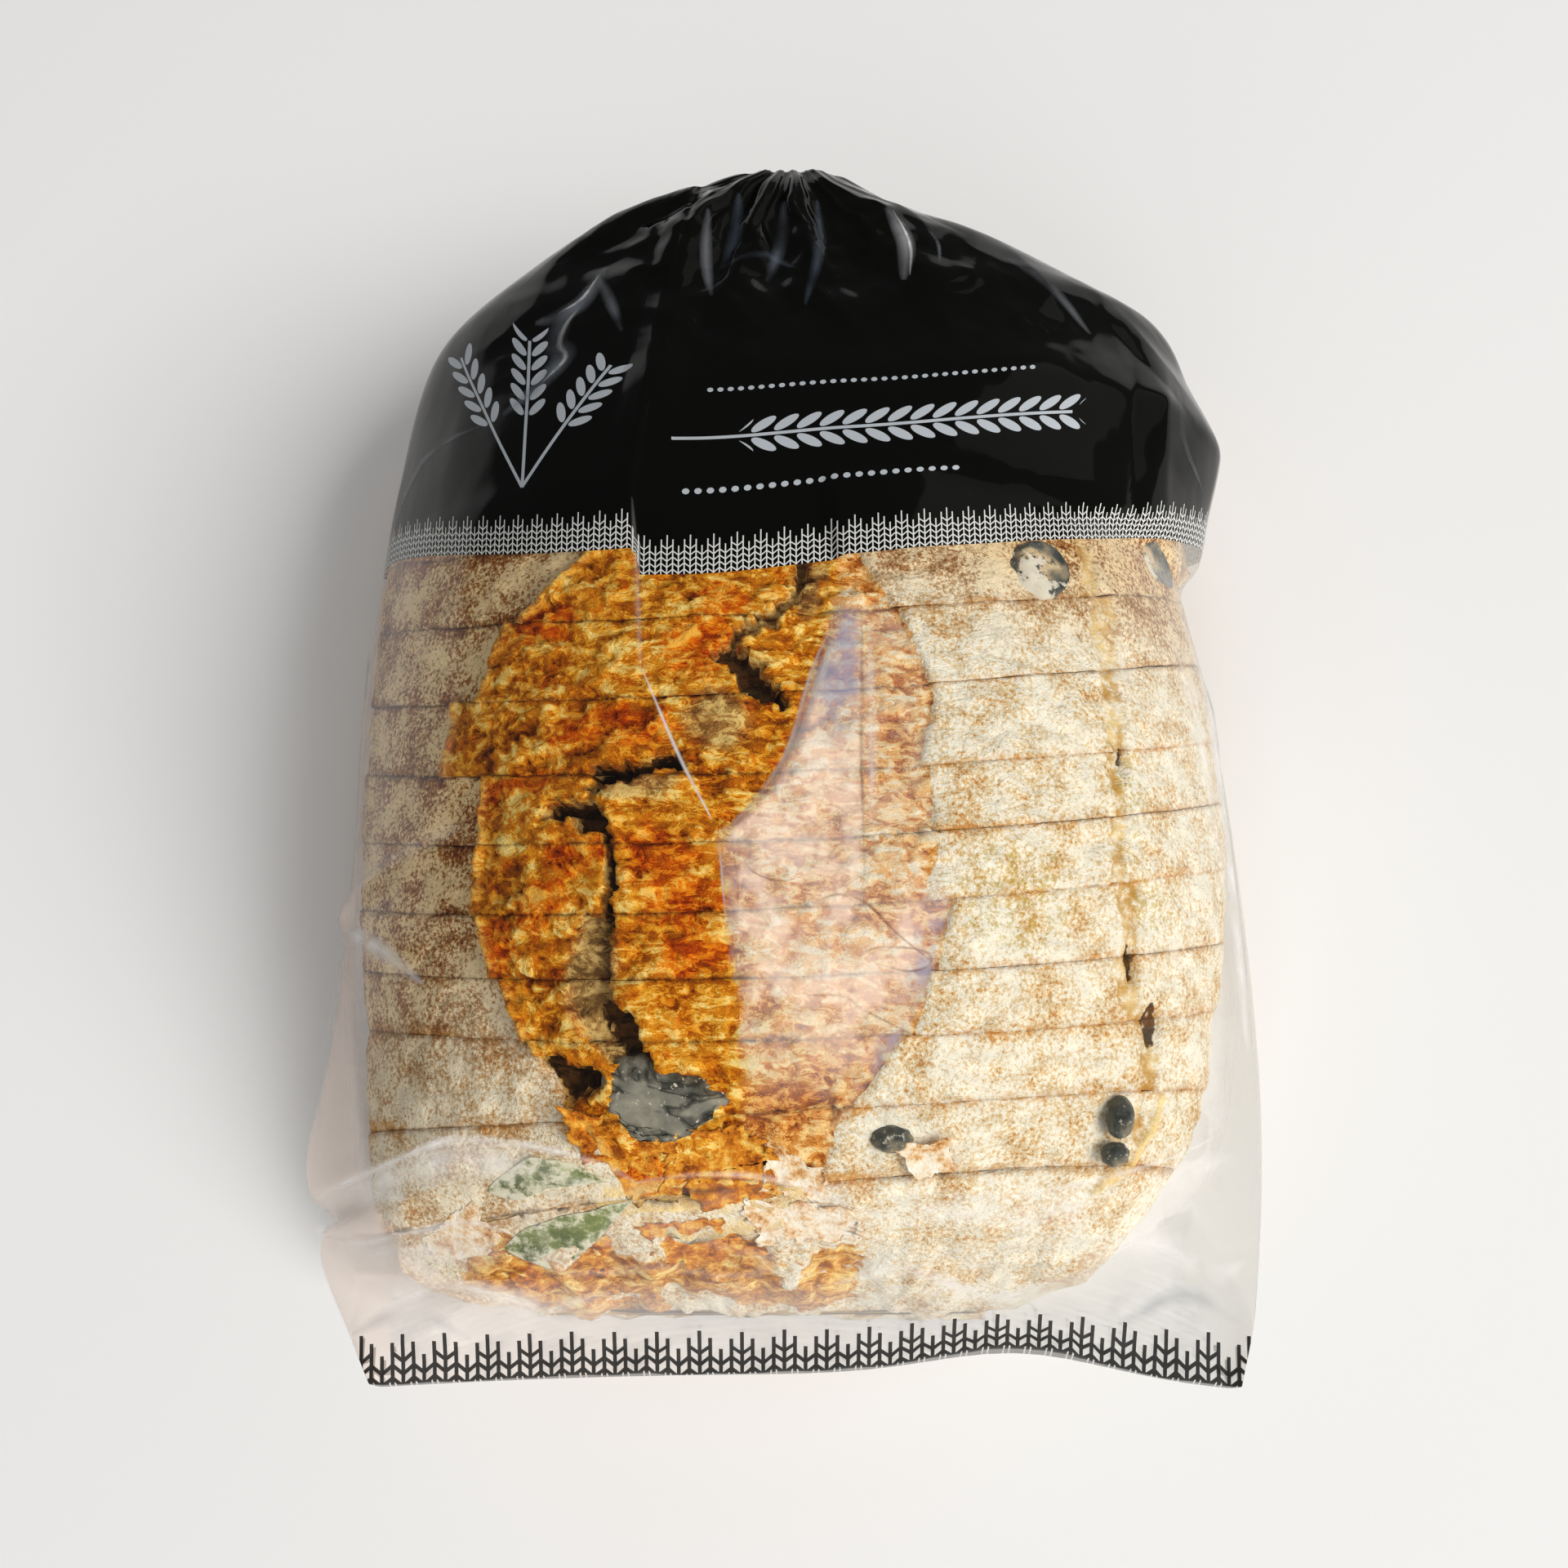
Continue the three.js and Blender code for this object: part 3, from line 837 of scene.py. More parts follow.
# Tones of the finishes: place on the ramp, then red, green and blue on screen
TORN_GOLD = [
    (0.28, 255, 222, 130), (0.38, 238, 170, 48), (0.47, 214, 130, 16), (0.56, 172, 88, 4), (0.68, 84, 34, 0),
]
TORN_RUST = [
    (0.28, 252, 184, 70), (0.38, 234, 136, 18), (0.47, 212, 96, 0), (0.56, 170, 60, 0), (0.68, 78, 18, 0),
]
TORN_PALE = [
    (0.28, 255, 240, 206), (0.40, 250, 208, 140), (0.50, 232, 162, 78), (0.58, 194, 108, 36),
    (0.70, 112, 50, 14),
]
OPEN_CRUMB = [(0.32, 216, 182, 112), (0.44, 168, 130, 72), (0.56, 112, 80, 42), (0.70, 50, 32, 16)]
CUT_CRUMB = [(0.35, 120, 84, 44), (0.5, 190, 150, 92), (0.7, 214, 182, 130)]
BAKED_HEEL = [(0.38, 254, 222, 140), (0.5, 222, 150, 48), (0.6, 146, 78, 14)]
FLAKE_GOLD = [(0.3, 255, 222, 130), (0.42, 236, 170, 60), (0.52, 208, 120, 24), (0.66, 120, 54, 10)]
FLAKE_FLOURY = [(0.34, 255, 248, 232), (0.48, 244, 222, 188), (0.58, 222, 172, 112), (0.68, 170, 104, 50)]
OLIVE_DARK = [(0.35, 44, 48, 46), (0.5, 78, 80, 72), (0.68, 138, 126, 100)]
OLIVE_GREY = [(0.32, 58, 58, 50), (0.5, 92, 91, 80), (0.68, 134, 128, 110)]
LEAF_GREEN = [(0.35, 80, 92, 36), (0.52, 120, 132, 66), (0.68, 166, 168, 108)]
# The fold ribbons' tones: dark painted shade, grey-blue painted reflections on the print, white painted
# highlights
FOLD_GLINT_AND_SHADE_TONES = [
    (0.0, 104, 58, 44), (0.2, 84, 98, 112), (0.4, 150, 152, 156), (0.75, 238, 234, 230), (1.0, 255, 255, 255),
]

# Single tones of the bread, the olives and the leaves
GOLDEN_CRUST = shade(222, 166, 90)
OIL_STAIN = shade(196, 176, 84)
SCORE_PALE, SCORE_BROWN = shade(234, 202, 136), shade(196, 148, 70)
LAYER_TONE = shade(248, 214, 138)
SLICE_EDGE, SLICE_EDGE_TAN, SLICE_EDGE_TORN = shade(206, 136, 54), shade(84, 38, 14), shade(96, 44, 10)
# The torn crust's raised lip: its golden crust and a painted highlight
TORN_LIP_GOLD_AND_HIGHLIGHT = shade(250, 192, 90)
# Deep in cracks and holes: brown crumb and near-black painted shade
PIT_BROWN, PIT_SHADE = shade(92, 56, 26), shade(26, 15, 8)
# The olives' tone in their furrows is painted shade, and their sheen a painted highlight
OLIVE_FURROW_SHADE, OLIVE_SHEEN, OLIVE_CORE = shade(34, 32, 26), shade(168, 164, 146), shade(206, 180, 138)
FLOUR_ON_OLIVE, FLOUR_ON_LEAF = shade(226, 218, 198), shade(238, 230, 206)

# How the flour breaks up: what the slow unevenness and a slice's rim add to the grain, and the ranges of
# their sum where bare crust and dark specks come in
UNEVEN_SHARE, RIM_BARE_SHARE = 0.58, 0.09
BARE_RANGE, SPECK_RANGE = (0.43, 0.59), (0.61, 0.69)

# The torn crust's tone: its middle, its contrast, and where that middle comes on the ramps
TORN_MIDDLE, TORN_CONTRAST, TORN_PLACE = 0.48, 1.15, 0.415

# How much the film hides where it is seen aslant, where veiled, and where it has dust and painted sheen, and
# how solid its ink and veil are
GRAZING_POWER, GRAZING_SHARE = 4.0, 0.8
COOL_SHADE_AND_SHEEN_SHARE = 0.74
SEAM_INK_SHARE = 0.97
VEIL_SOLID_SHARE = 0.85


# Materials

def film_material(settings):
    """Clear glossy film with black print, a wheat border at both ends, and dust with a painted sheen where it
    stands off.
    """
    material, tree, shader, sums = new_material("bag_film", roughness=0.07, specular=0.13)
    shader.inputs["IOR"].default_value = 1.5
    uv = tree.nodes.new("ShaderNodeUVMap")
    uv.uv_map = "film_mm"
    split = tree.nodes.new("ShaderNodeSeparateXYZ")
    tree.links.new(uv.outputs["UV"], split.inputs["Vector"])
    u, v = split.outputs["X"], split.outputs["Y"]
    above = sums("SUBTRACT", v, BORDER_FROM_SEAM)
    printed = sums("GREATER_THAN", above, 0)

    border = wheat_border_group()
    top_band = use_group(tree, border, U=u, V=above, Scale=1.0, Stroke=TOP_BAND_STROKE)
    top_band = sums("MULTIPLY", top_band, printed)
    seam_v = sums("ADD", v, SEAM_BAND_CUT_OFF)
    seam_band = use_group(tree, border, U=u, V=seam_v, Scale=SEAM_BAND_SCALE, Stroke=SEAM_BAND_STROKE)
    ink = sums("MAXIMUM", printed, sums("MULTIPLY", seam_band, SEAM_INK_SHARE))
    design = sums("MULTIPLY", printed_design(tree, sums, u, above), printed)

    cloudy = noise_value(tree, CLOUDY_DUST_AND_SHEEN)
    # A cooler, darker tone of the dust and sheen: painted reflection along the arc, painted shade at the
    # lower right rim
    cool = sums("MULTIPLY", attribute(tree, "cool"), stretch_range(tree, cloudy, 0.35, 0.6, 0.6, 1.0))
    # Flour dust with a painted sheen, standing for a soft light's reflection where the film stands off
    haze = sums("MULTIPLY", attribute(tree, "haze"), stretch_range(tree, cloudy, 0.34, 0.62, 0.55, 1.0))
    veil = attribute(tree, "veil")
    # Painted light: the loose film's tone is lighter on its shaded left and darker where more light falls
    loose = mix(tree, attribute(tree, "lit"), settings.veil_colour, settings.veil_shade)
    colour = mix(tree, veil, settings.film_colour, loose)
    colour = mix(tree, haze, colour, mix(tree, cool, settings.haze_colour, settings.haze_shade))
    for mask, tone in ((ink, settings.print_colour), (design, settings.design_colour),
                       (top_band, settings.border_colour)):
        colour = mix(tree, mask, colour, tone)
    tree.links.new(colour, shader.inputs["Base Color"])

    facing = tree.nodes.new("ShaderNodeLayerWeight")
    facing.inputs["Blend"].default_value = 0.5
    grazing = sums("POWER", facing.outputs["Facing"], GRAZING_POWER)
    hiding = sums("ADD", settings.film_reflection, sums("MULTIPLY", grazing, GRAZING_SHARE), clamp=True)
    for mask, share in ((veil, settings.veil_strength), (haze, settings.haze_strength),
                        (sums("MULTIPLY", cool, haze), COOL_SHADE_AND_SHEEN_SHARE)):
        hiding = sums("MAXIMUM", hiding, sums("MULTIPLY", mask, share))
    tree.links.new(sums("MAXIMUM", hiding, ink), shader.inputs["Alpha"])
    solid = sums("MAXIMUM", sums("MAXIMUM", haze, sums("MULTIPLY", veil, VEIL_SOLID_SHARE)), ink)
    tree.links.new(sums("SUBTRACT", 1.0, solid, clamp=True), shader.inputs["Metallic"])

    normal = bump(tree, shader, noise_value(tree, FILM_WRINKLES), distance=0.0009, strength=0.45)
    tree.links.new(normal, facing.inputs["Normal"])
    return material


def crust_colour(tree, sums, settings, grain, uneven):
    """Floured crust: pale dust broken by fine brown specks, which gather where the flour is thin; browner and
    darker at the left and the back, for thinner flour and painted shade.
    """
    tan, rim = attribute(tree, "tan"), attribute(tree, "rim")
    bare = sums.plus(sums("ADD", grain, sums.swing(uneven, 0.5, UNEVEN_SHARE)), rim, RIM_BARE_SHARE)
    flour = mix(tree, tan, settings.flour_colour, settings.flour_shade)
    crust = mix(tree, tan, settings.crust_colour, settings.crust_shade)
    colour = mix(tree, stretch_range(tree, bare, *BARE_RANGE), flour, crust)
    golden = stretch_range(tree, sums("ADD", rim, sums.swing(grain, 0.5, 2.0)), 0.3, 1.0)
    golden = sums("MULTIPLY", golden, sums("SUBTRACT", 0.8, sums("MULTIPLY", tan, 0.55)))
    colour = mix(tree, golden, colour, GOLDEN_CRUST)
    specks = mix(tree, tan, settings.speck_colour, settings.speck_shade)
    return mix(tree, stretch_range(tree, bare, *SPECK_RANGE), colour, specks)


def torn_colour(tree, sums, scaly, uneven, ragged):
    """Torn crust: gold to rust, in scales at the left and drawn-out fibres elsewhere, and greyer crumb;
    lighter where it stands high and darker low, in flake gaps and thin crevices, as painted light and shade.
    """
    fibres = sums("SUBTRACT", noise_value(tree, CRUST_FIBRES), scaly)
    base = sums("ADD", scaly, sums("MULTIPLY", fibres, sums("MULTIPLY", attribute(tree, "streaky"), 0.75)))
    # Painted light and shade: lighter where the crust stands high, darker where it lies low
    tone = sums("SUBTRACT", base, sums.swing(attribute(tree, "ridge"), 0.5, 0.22))
    # Painted shade in the gaps between flakes
    tone = sums.plus(tone, attribute(tree, "gap"), 0.1)
    tone = sums("ADD", TORN_PLACE, sums.swing(tone, TORN_MIDDLE, TORN_CONTRAST))
    # Painted shade in thin crevices, where the noise passes its middle
    crevice_shade = sums("ABSOLUTE", sums("SUBTRACT", base, 0.52))
    tone = sums("ADD", tone, stretch_range(tree, crevice_shade, 0.0, 0.02, 0.12, 0.0))
    burnt = sums("ADD", attribute(tree, "burnt"), sums.swing(uneven, 0.5, 1.6))
    burnt = stretch_range(tree, sums.plus(burnt, ragged, 1.8), -0.1, 1.0)
    colour = mix(tree, burnt, ramp(tree, tone, TORN_GOLD), ramp(tree, tone, TORN_RUST))
    # Paler right of the arc, under the film's dust and sheen, partly as that painted sheen
    colour = mix(tree, attribute(tree, "pale"), colour, ramp(tree, tone, TORN_PALE))
    return mix(tree, attribute(tree, "crumb"), colour, ramp(tree, tone, OPEN_CRUMB))


def bread_material(settings):
    """The loaf's whole finish, split over the floured crust, the torn crust and the cut faces."""
    material, tree, shader, sums = new_material("bread_crust", roughness=0.85, specular=0.25)
    grain, scaly = noise_value(tree, CRUST_GRAIN), noise_value(tree, CRUST_SCALES)
    uneven = noise_value(tree, UNEVEN_BAKE)
    ragged = sums("SUBTRACT", noise_value(tree, RAGGED_EDGES), 0.5)
    tear = stretch_range(tree, sums.plus(attribute(tree, "tear"), ragged, 0.6), 0.42, 0.56)

    crust = crust_colour(tree, sums, settings, grain, uneven)
    soaked = stretch_range(tree, sums("ADD", ragged, grain), 0.45, 0.7)
    stain = sums("MULTIPLY", sums("MULTIPLY", attribute(tree, "stain"), soaked), 0.5)
    crust = mix(tree, stain, crust, OIL_STAIN)
    score = sums("MULTIPLY", attribute(tree, "score"), stretch_range(tree, ragged, -0.14, 0.08, 0.2, 0.85))
    score_tone = mix(tree, stretch_range(tree, uneven, 0.4, 0.6), SCORE_PALE, SCORE_BROWN)
    crust = mix(tree, score, crust, score_tone)

    colour = mix(tree, tear, crust, torn_colour(tree, sums, scaly, uneven, ragged))
    colour = mix(tree, attribute(tree, "cut"), colour, ramp(tree, scaly, CUT_CRUMB))
    baked = stretch_range(tree, sums.plus(attribute(tree, "baked"), ragged, 1.1), 0.34, 0.6)
    colour = mix(tree, baked, colour, ramp(tree, scaly, BAKED_HEEL))
    colour = mix(tree, sums("MULTIPLY", attribute(tree, "layer"), 0.8), colour, LAYER_TONE)
    edge = sums("MULTIPLY", attribute(tree, "edge"), stretch_range(tree, ragged, -0.1, 0.1, 0.25, 0.95))
    # The slice edges are darker where the crust is browner and darker, partly painted shade
    edge_tone = mix(tree, attribute(tree, "tan"), SLICE_EDGE, SLICE_EDGE_TAN)
    colour = mix(tree, edge, colour, mix(tree, tear, edge_tone, SLICE_EDGE_TORN))
    # The raised lip painted pale gold: the torn edge's golden crust and a painted highlight
    lip = sums("MULTIPLY", attribute(tree, "lip"), stretch_range(tree, scaly, 0.44, 0.58, 1.0, 0.15))
    colour = mix(tree, sums("MULTIPLY", lip, 0.9), colour, TORN_LIP_GOLD_AND_HIGHLIGHT)
    # Deep cracks and score holes painted brown to near black: brown crumb and painted shade
    pit = stretch_range(tree, sums.plus(attribute(tree, "pit"), ragged, 1.4), 0.42, 0.68, 0.0, 0.92)
    colour = mix(tree, pit, colour, mix(tree, stretch_range(tree, scaly, 0.4, 0.6), PIT_BROWN, PIT_SHADE))
    tree.links.new(colour, shader.inputs["Base Color"])
    bump(tree, shader, scaly, distance=0.0021, strength=0.8)
    return material


def olive_material():
    """Dark baked skin, grey and furrowed on the large one, with painted shade in its furrows and a painted
    sheen beside them, and a pale core where one is cut.
    """
    material, tree, shader, sums = new_material("olive_skin", roughness=0.45)
    blotch, fine = noise_value(tree, OLIVE_BLOTCHES), noise_value(tree, OLIVE_FLOUR)
    grey = attribute(tree, "grey")
    skin = mix(tree, grey, ramp(tree, blotch, OLIVE_DARK), ramp(tree, blotch, OLIVE_GREY))
    crease = sums("ABSOLUTE", sums("SUBTRACT", noise_value(tree, OLIVE_CREASES), 0.5))
    # Painted shade in the furrows and a painted sheen beside them, drawn from noise with no bump
    furrow_shade = sums("MULTIPLY", grey, stretch_range(tree, crease, 0.0, 0.035, 0.8, 0.0))
    sheen = sums("MULTIPLY", grey, stretch_range(tree, crease, 0.05, 0.09, 0.0, 0.35))
    core = sums("MULTIPLY", attribute(tree, "core"), stretch_range(tree, fine, 0.36, 0.5))
    flour = sums("ADD", fine, sums.swing(attribute(tree, "dust"), 0.5, 0.3))
    flour = stretch_range(tree, flour, 0.48, 0.62, 0.0, 0.85)
    for mask, tone in ((furrow_shade, OLIVE_FURROW_SHADE), (sheen, OLIVE_SHEEN), (core, OLIVE_CORE),
                       (flour, FLOUR_ON_OLIVE)):
        skin = mix(tree, mask, skin, tone)
    tree.links.new(skin, shader.inputs["Base Color"])
    bump(tree, shader, blotch, distance=0.0006, strength=0.6)
    return material


def herb_material():
    """Dull green leaf, floured towards its edges."""
    material, tree, shader, sums = new_material("herb_leaf", roughness=0.75)
    tone = noise_value(tree, LEAF_TONE)
    flour = sums("ADD", noise_value(tree, LEAF_FLOUR), sums.swing(attribute(tree, "dust"), 0.5, 0.16))
    flour = stretch_range(tree, flour, 0.43, 0.66, 0.0, 0.75)
    tree.links.new(mix(tree, flour, ramp(tree, tone, LEAF_GREEN), FLOUR_ON_LEAF), shader.inputs["Base Color"])
    bump(tree, shader, tone, distance=0.0008, strength=0.6)
    return material


def flake_material():
    """Loose crust: gold to rust, and pale where it carries flour."""
    material, tree, shader, sums = new_material("crust_flake", roughness=0.85, specular=0.25)
    fine = noise_value(tree, FLAKE_GRAIN)
    flour = sums("ADD", attribute(tree, "flour"), sums("SUBTRACT", fine, 0.5))
    flour = stretch_range(tree, flour, 0.2, 0.5)
    colour = mix(tree, flour, ramp(tree, fine, FLAKE_GOLD), ramp(tree, fine, FLAKE_FLOURY))
    tree.links.new(colour, shader.inputs["Base Color"])
    bump(tree, shader, fine, distance=0.0012, strength=0.8)
    return material


def fold_glint_and_shade_material():
    """A fold's tone, from painted shade to painted highlight, covering as much as the fold says."""
    material, tree, shader, _ = new_material("film_folds", roughness=0.25)
    tree.links.new(ramp(tree, attribute(tree, "tone"), FOLD_GLINT_AND_SHADE_TONES), shader.inputs["Base Color"])
    tree.links.new(attribute(tree, "cover"), shader.inputs["Alpha"])
    return material


def floor_material(settings):
    material, _, shader, _ = new_material("stage_floor", roughness=0.9, specular=0.1)
    shader.inputs["Base Color"].default_value = (*settings.floor_colour, 1.0)
    return material


# The film

FILM_TOP_COLUMNS = 232
FILM_UNDER_COLUMNS = 44
FILM_BODY_ROWS = 296
FILM_NECK_ROWS = 40
ROW_CROWDING = 0.045
NECK_SPINE = [
    (0, 142, 43), (0, 139.5, 37), (0, 137, 25), (0, 133, 14.5), (0, 125, 8.4), (0, 110, 5.2), (0, 97, 4.4),
]
NECK_HALF_WIDTH = [13.5, 10.5, 9.5, 10, 13, 18, 22]
NECK_HALF_DEPTH = [4.5, 5.4, 5.4, 5.0, 4.4, 3.4, 2.4]
NECK_LOBES = 9
NECK_LOBE_DEPTH = 0.1
NECK_CREASES = 17
NECK_CREASE_DEPTH = 0.05
NECK_TWIST = 4.0
NECK_BLEND_SHARE = 0.2
NECK_PRINT_STEP = 2.0


def body_points(across, row, folded=True):
    """Points of the film from the seam to the hub, for column and row numbers."""
    t = row / FILM_BODY_ROWS
    y = SEAM_Y + (HUB_Y - SEAM_Y) * (t - ROW_CROWDING * np.sin(2 * math.pi * t))
    on_top = across <= FILM_TOP_COLUMNS
    u = 2 * across / FILM_TOP_COLUMNS - 1
    under_share = (across - FILM_TOP_COLUMNS) / FILM_UNDER_COLUMNS
    s = np.where(on_top, 0.45 * u + 0.55 * np.sin(math.pi * u / 2), np.cos(math.pi * under_share))
    s = np.clip(s, -1, 1)
    left, right = keyed(LEFT_EDGE, y), keyed(RIGHT_EDGE, y)
    x = (left + right) / 2 + s * (right - left) / 2
    top = top_height(s, x, y) if folded else plain_height(s, y)
    z = np.where(on_top, top, under_height(s, x, y))
    return np.stack([x, y + seam_shift(x, y), z], axis=1)


def catmull(points, share):
    """Points on a smooth curve through a few points, at shares from 0 to 1."""
    steps = np.linspace(0, 1, len(points))
    table = np.asarray(points, float)
    return np.stack([keyed(np.stack([steps, table[:, i]], axis=1), share) for i in range(3)], axis=1)


def neck_points(across, row):
    """Points of the gathered neck, which goes over from the hub's ring into a lobed rope."""
    t = row / FILM_NECK_ROWS
    centre = catmull(NECK_SPINE, t)
    ahead = catmull(NECK_SPINE, np.minimum(t + 0.01, 1)) - catmull(NECK_SPINE, np.maximum(t - 0.01, 0))
    ahead /= np.linalg.norm(ahead, axis=1, keepdims=True)
    out = np.cross(np.broadcast_to((1.0, 0.0, 0.0), ahead.shape), ahead)
    top = across <= FILM_TOP_COLUMNS
    angle = np.where(top, math.pi * (1 - across / FILM_TOP_COLUMNS),
                     -math.pi * (across - FILM_TOP_COLUMNS) / FILM_UNDER_COLUMNS)
    lobe = 1 + NECK_LOBE_DEPTH * np.cos(NECK_LOBES * angle + NECK_TWIST * t) * smoothstep(0, 0.2, t)
    lobe += NECK_CREASE_DEPTH * np.abs(np.sin(NECK_CREASES * angle - 6 * t)) * smoothstep(0, 0.2, t)
    keys = np.linspace(0, 1, len(NECK_HALF_WIDTH))
    wide = keyed(np.stack([keys, NECK_HALF_WIDTH], axis=1), t) * np.cos(angle) * lobe
    deep = keyed(np.stack([keys, NECK_HALF_DEPTH], axis=1), t) * np.sin(angle) * lobe
    rope = centre + wide[:, None] * (1.0, 0.0, 0.0) + deep[:, None] * out
    hub = body_points(across, np.full(across.shape, FILM_BODY_ROWS))
    hub = hub + (centre - catmull(NECK_SPINE, np.zeros(len(t))))
    blend = smoothstep(0, NECK_BLEND_SHARE, t)[:, None]
    return hub * (1 - blend) + rope * blend


def surface_lengths(points, columns, rows):
    """Millimetres across from the front's middle and along from the seam, for a sorted grid."""
    grid = points.reshape(rows + 1, columns + 1, 3)
    across = np.linalg.norm(np.diff(grid, axis=1), axis=2)
    across = np.concatenate([np.zeros((rows + 1, 1)), np.cumsum(across, axis=1)], axis=1)
    front, reaches = grid[:, :FILM_TOP_COLUMNS + 1, 0], across[:, :FILM_TOP_COLUMNS + 1]
    across -= np.array([np.interp(0, line, reach) for line, reach in zip(front, reaches)])[:, None]
    along = np.linalg.norm(np.diff(grid, axis=0), axis=2)
    along = np.concatenate([np.zeros((1, columns + 1)), np.cumsum(along, axis=0)], axis=0)
    return across.ravel(), along.ravel()


def film_uv(columns, across, along):
    """The film's print coordinates, read off the form without folds, which would bend the print."""
    row = np.minimum(along, FILM_BODY_ROWS)
    order = np.lexsort((across, along))
    points = body_points(across, row, folded=False)[order]
    u, v = surface_lengths(points, columns, FILM_BODY_ROWS + FILM_NECK_ROWS)
    on_top = across[order] <= FILM_TOP_COLUMNS
    lapped = left_of_pleat(points[:, 0], points[:, 1]) * smoothstep(-20, 20, points[:, 1]) * on_top
    x = points[:, 0]
    near_seam = 1 - smoothstep(-112, -84, points[:, 1])
    u = u * (1 - near_seam) + x * near_seam
    v = v - (PLEAT_PRINT_STEP + PLEAT_PRINT_SKEW * (x - PLEAT_PRINT_MIDDLE)) * lapped
    v = v - RIGHT_PRINT_RISE * smoothstep(-20, 15, x) * smoothstep(0, 30, points[:, 1]) * on_top
    v = v + NECK_PRINT_STEP * np.maximum(0, along[order] - FILM_BODY_ROWS)
    back = np.argsort(order)
    return u[back], v[back]


def paint_dust_and_sheen(mesh, points, on_top):
    """Dust and painted sheen where the film stands off the torn crust, and a cooler, darker tone near its
    top, along the arc as painted reflection and at its lower right rim as painted shade.
    """
    x, y = points[:, 0], points[:, 1]
    to_right = line_x(HAZE_RIGHT, y) - x
    inner = 1 - smoothstep(-1.5, 1.0, -to_right)
    haze = right_of_arc(x, y, 0.5) * smoothstep(-98, -60, y + 0.3 * x) * inner * (1 - smoothstep(8, 20, y))
    thinner = smoothstep(HAZE_FOLD_X - 0.5, HAZE_FOLD_X + 0.5, x) * smoothstep(-52, -44, y)
    paint(mesh, "haze", haze * (1 - 0.45 * thinner) * on_top)
    # Painted bluish reflection along the arc
    along_arc = right_of_arc(x, y, 0.5) * (1 - right_of_arc(x - 2.6, y, 0.4)) * smoothstep(-66, -56, y)
    # Painted shade along the lower right rim
    rim = (1 - smoothstep(2.5, 6.5, to_right + 1.5 * noise(points, 12.0, 15))) * smoothstep(-40, -56, y)
    cool = np.maximum(patch(x, y, (11, 2), (6, 22)), 0.7 * along_arc)
    paint(mesh, "cool", np.maximum(cool, rim * smoothstep(-96, -80, y)) * on_top)


def paint_veil(mesh, points, body):
    """The loose film's veil beside the loaf and over its near end, with painted fold glints over the end, and
    where more light falls on it, where its tone is painted darker.
    """
    x, y = points[:, 0], points[:, 1]
    off_loaf = np.maximum(keyed(LOAF_LEFT, y) - x, x - keyed(LOAF_RIGHT, y))
    beyond = smoothstep(-4, 2.5, off_loaf) ** 1.5 + 0.25 * smoothstep(-14, -2, off_loaf) * (x > 0)
    # Painted glints along crumpled folds of the loose film over the loaf's near end
    lines = 0.5 - np.abs(noise(points * (0.5, 1.0, 1.0), 11.0, 141))
    heel = smoothstep(-90, -112, y) * (0.35 + 0.65 * smoothstep(0.32, 0.5, lines))
    beyond = np.maximum(np.maximum(beyond, 0.5 * heel), smoothstep(-108, -118, y))
    paint(mesh, "veil", np.clip(beyond, 0, 1) * body)
    # Where more light falls, for the loose film's tone that is painted darker there
    paint(mesh, "lit", smoothstep(-80, 60, x - 0.3 * y))


def build_film(settings):
    columns, rows = FILM_TOP_COLUMNS + FILM_UNDER_COLUMNS, FILM_BODY_ROWS + FILM_NECK_ROWS
    mesh, across, along = grid_mesh("bag_film", columns, rows)
    body = along <= FILM_BODY_ROWS
    points = np.empty((len(across), 3))
    points[body] = body_points(across[body], along[body])
    points[~body] = neck_points(across[~body], along[~body] - FILM_BODY_ROWS)
    u, v = film_uv(columns, across, along)
    set_uv(mesh, "film_mm", u, v)
    paint_dust_and_sheen(mesh, points, (across <= FILM_TOP_COLUMNS) & body)
    paint_veil(mesh, points, body)
    place_vertices(mesh, points)
    weld(mesh, fill=True)
    film = add_object("film_bag", mesh, film_material(settings))
    film.visible_shadow = film.visible_diffuse = False
    dress(film)
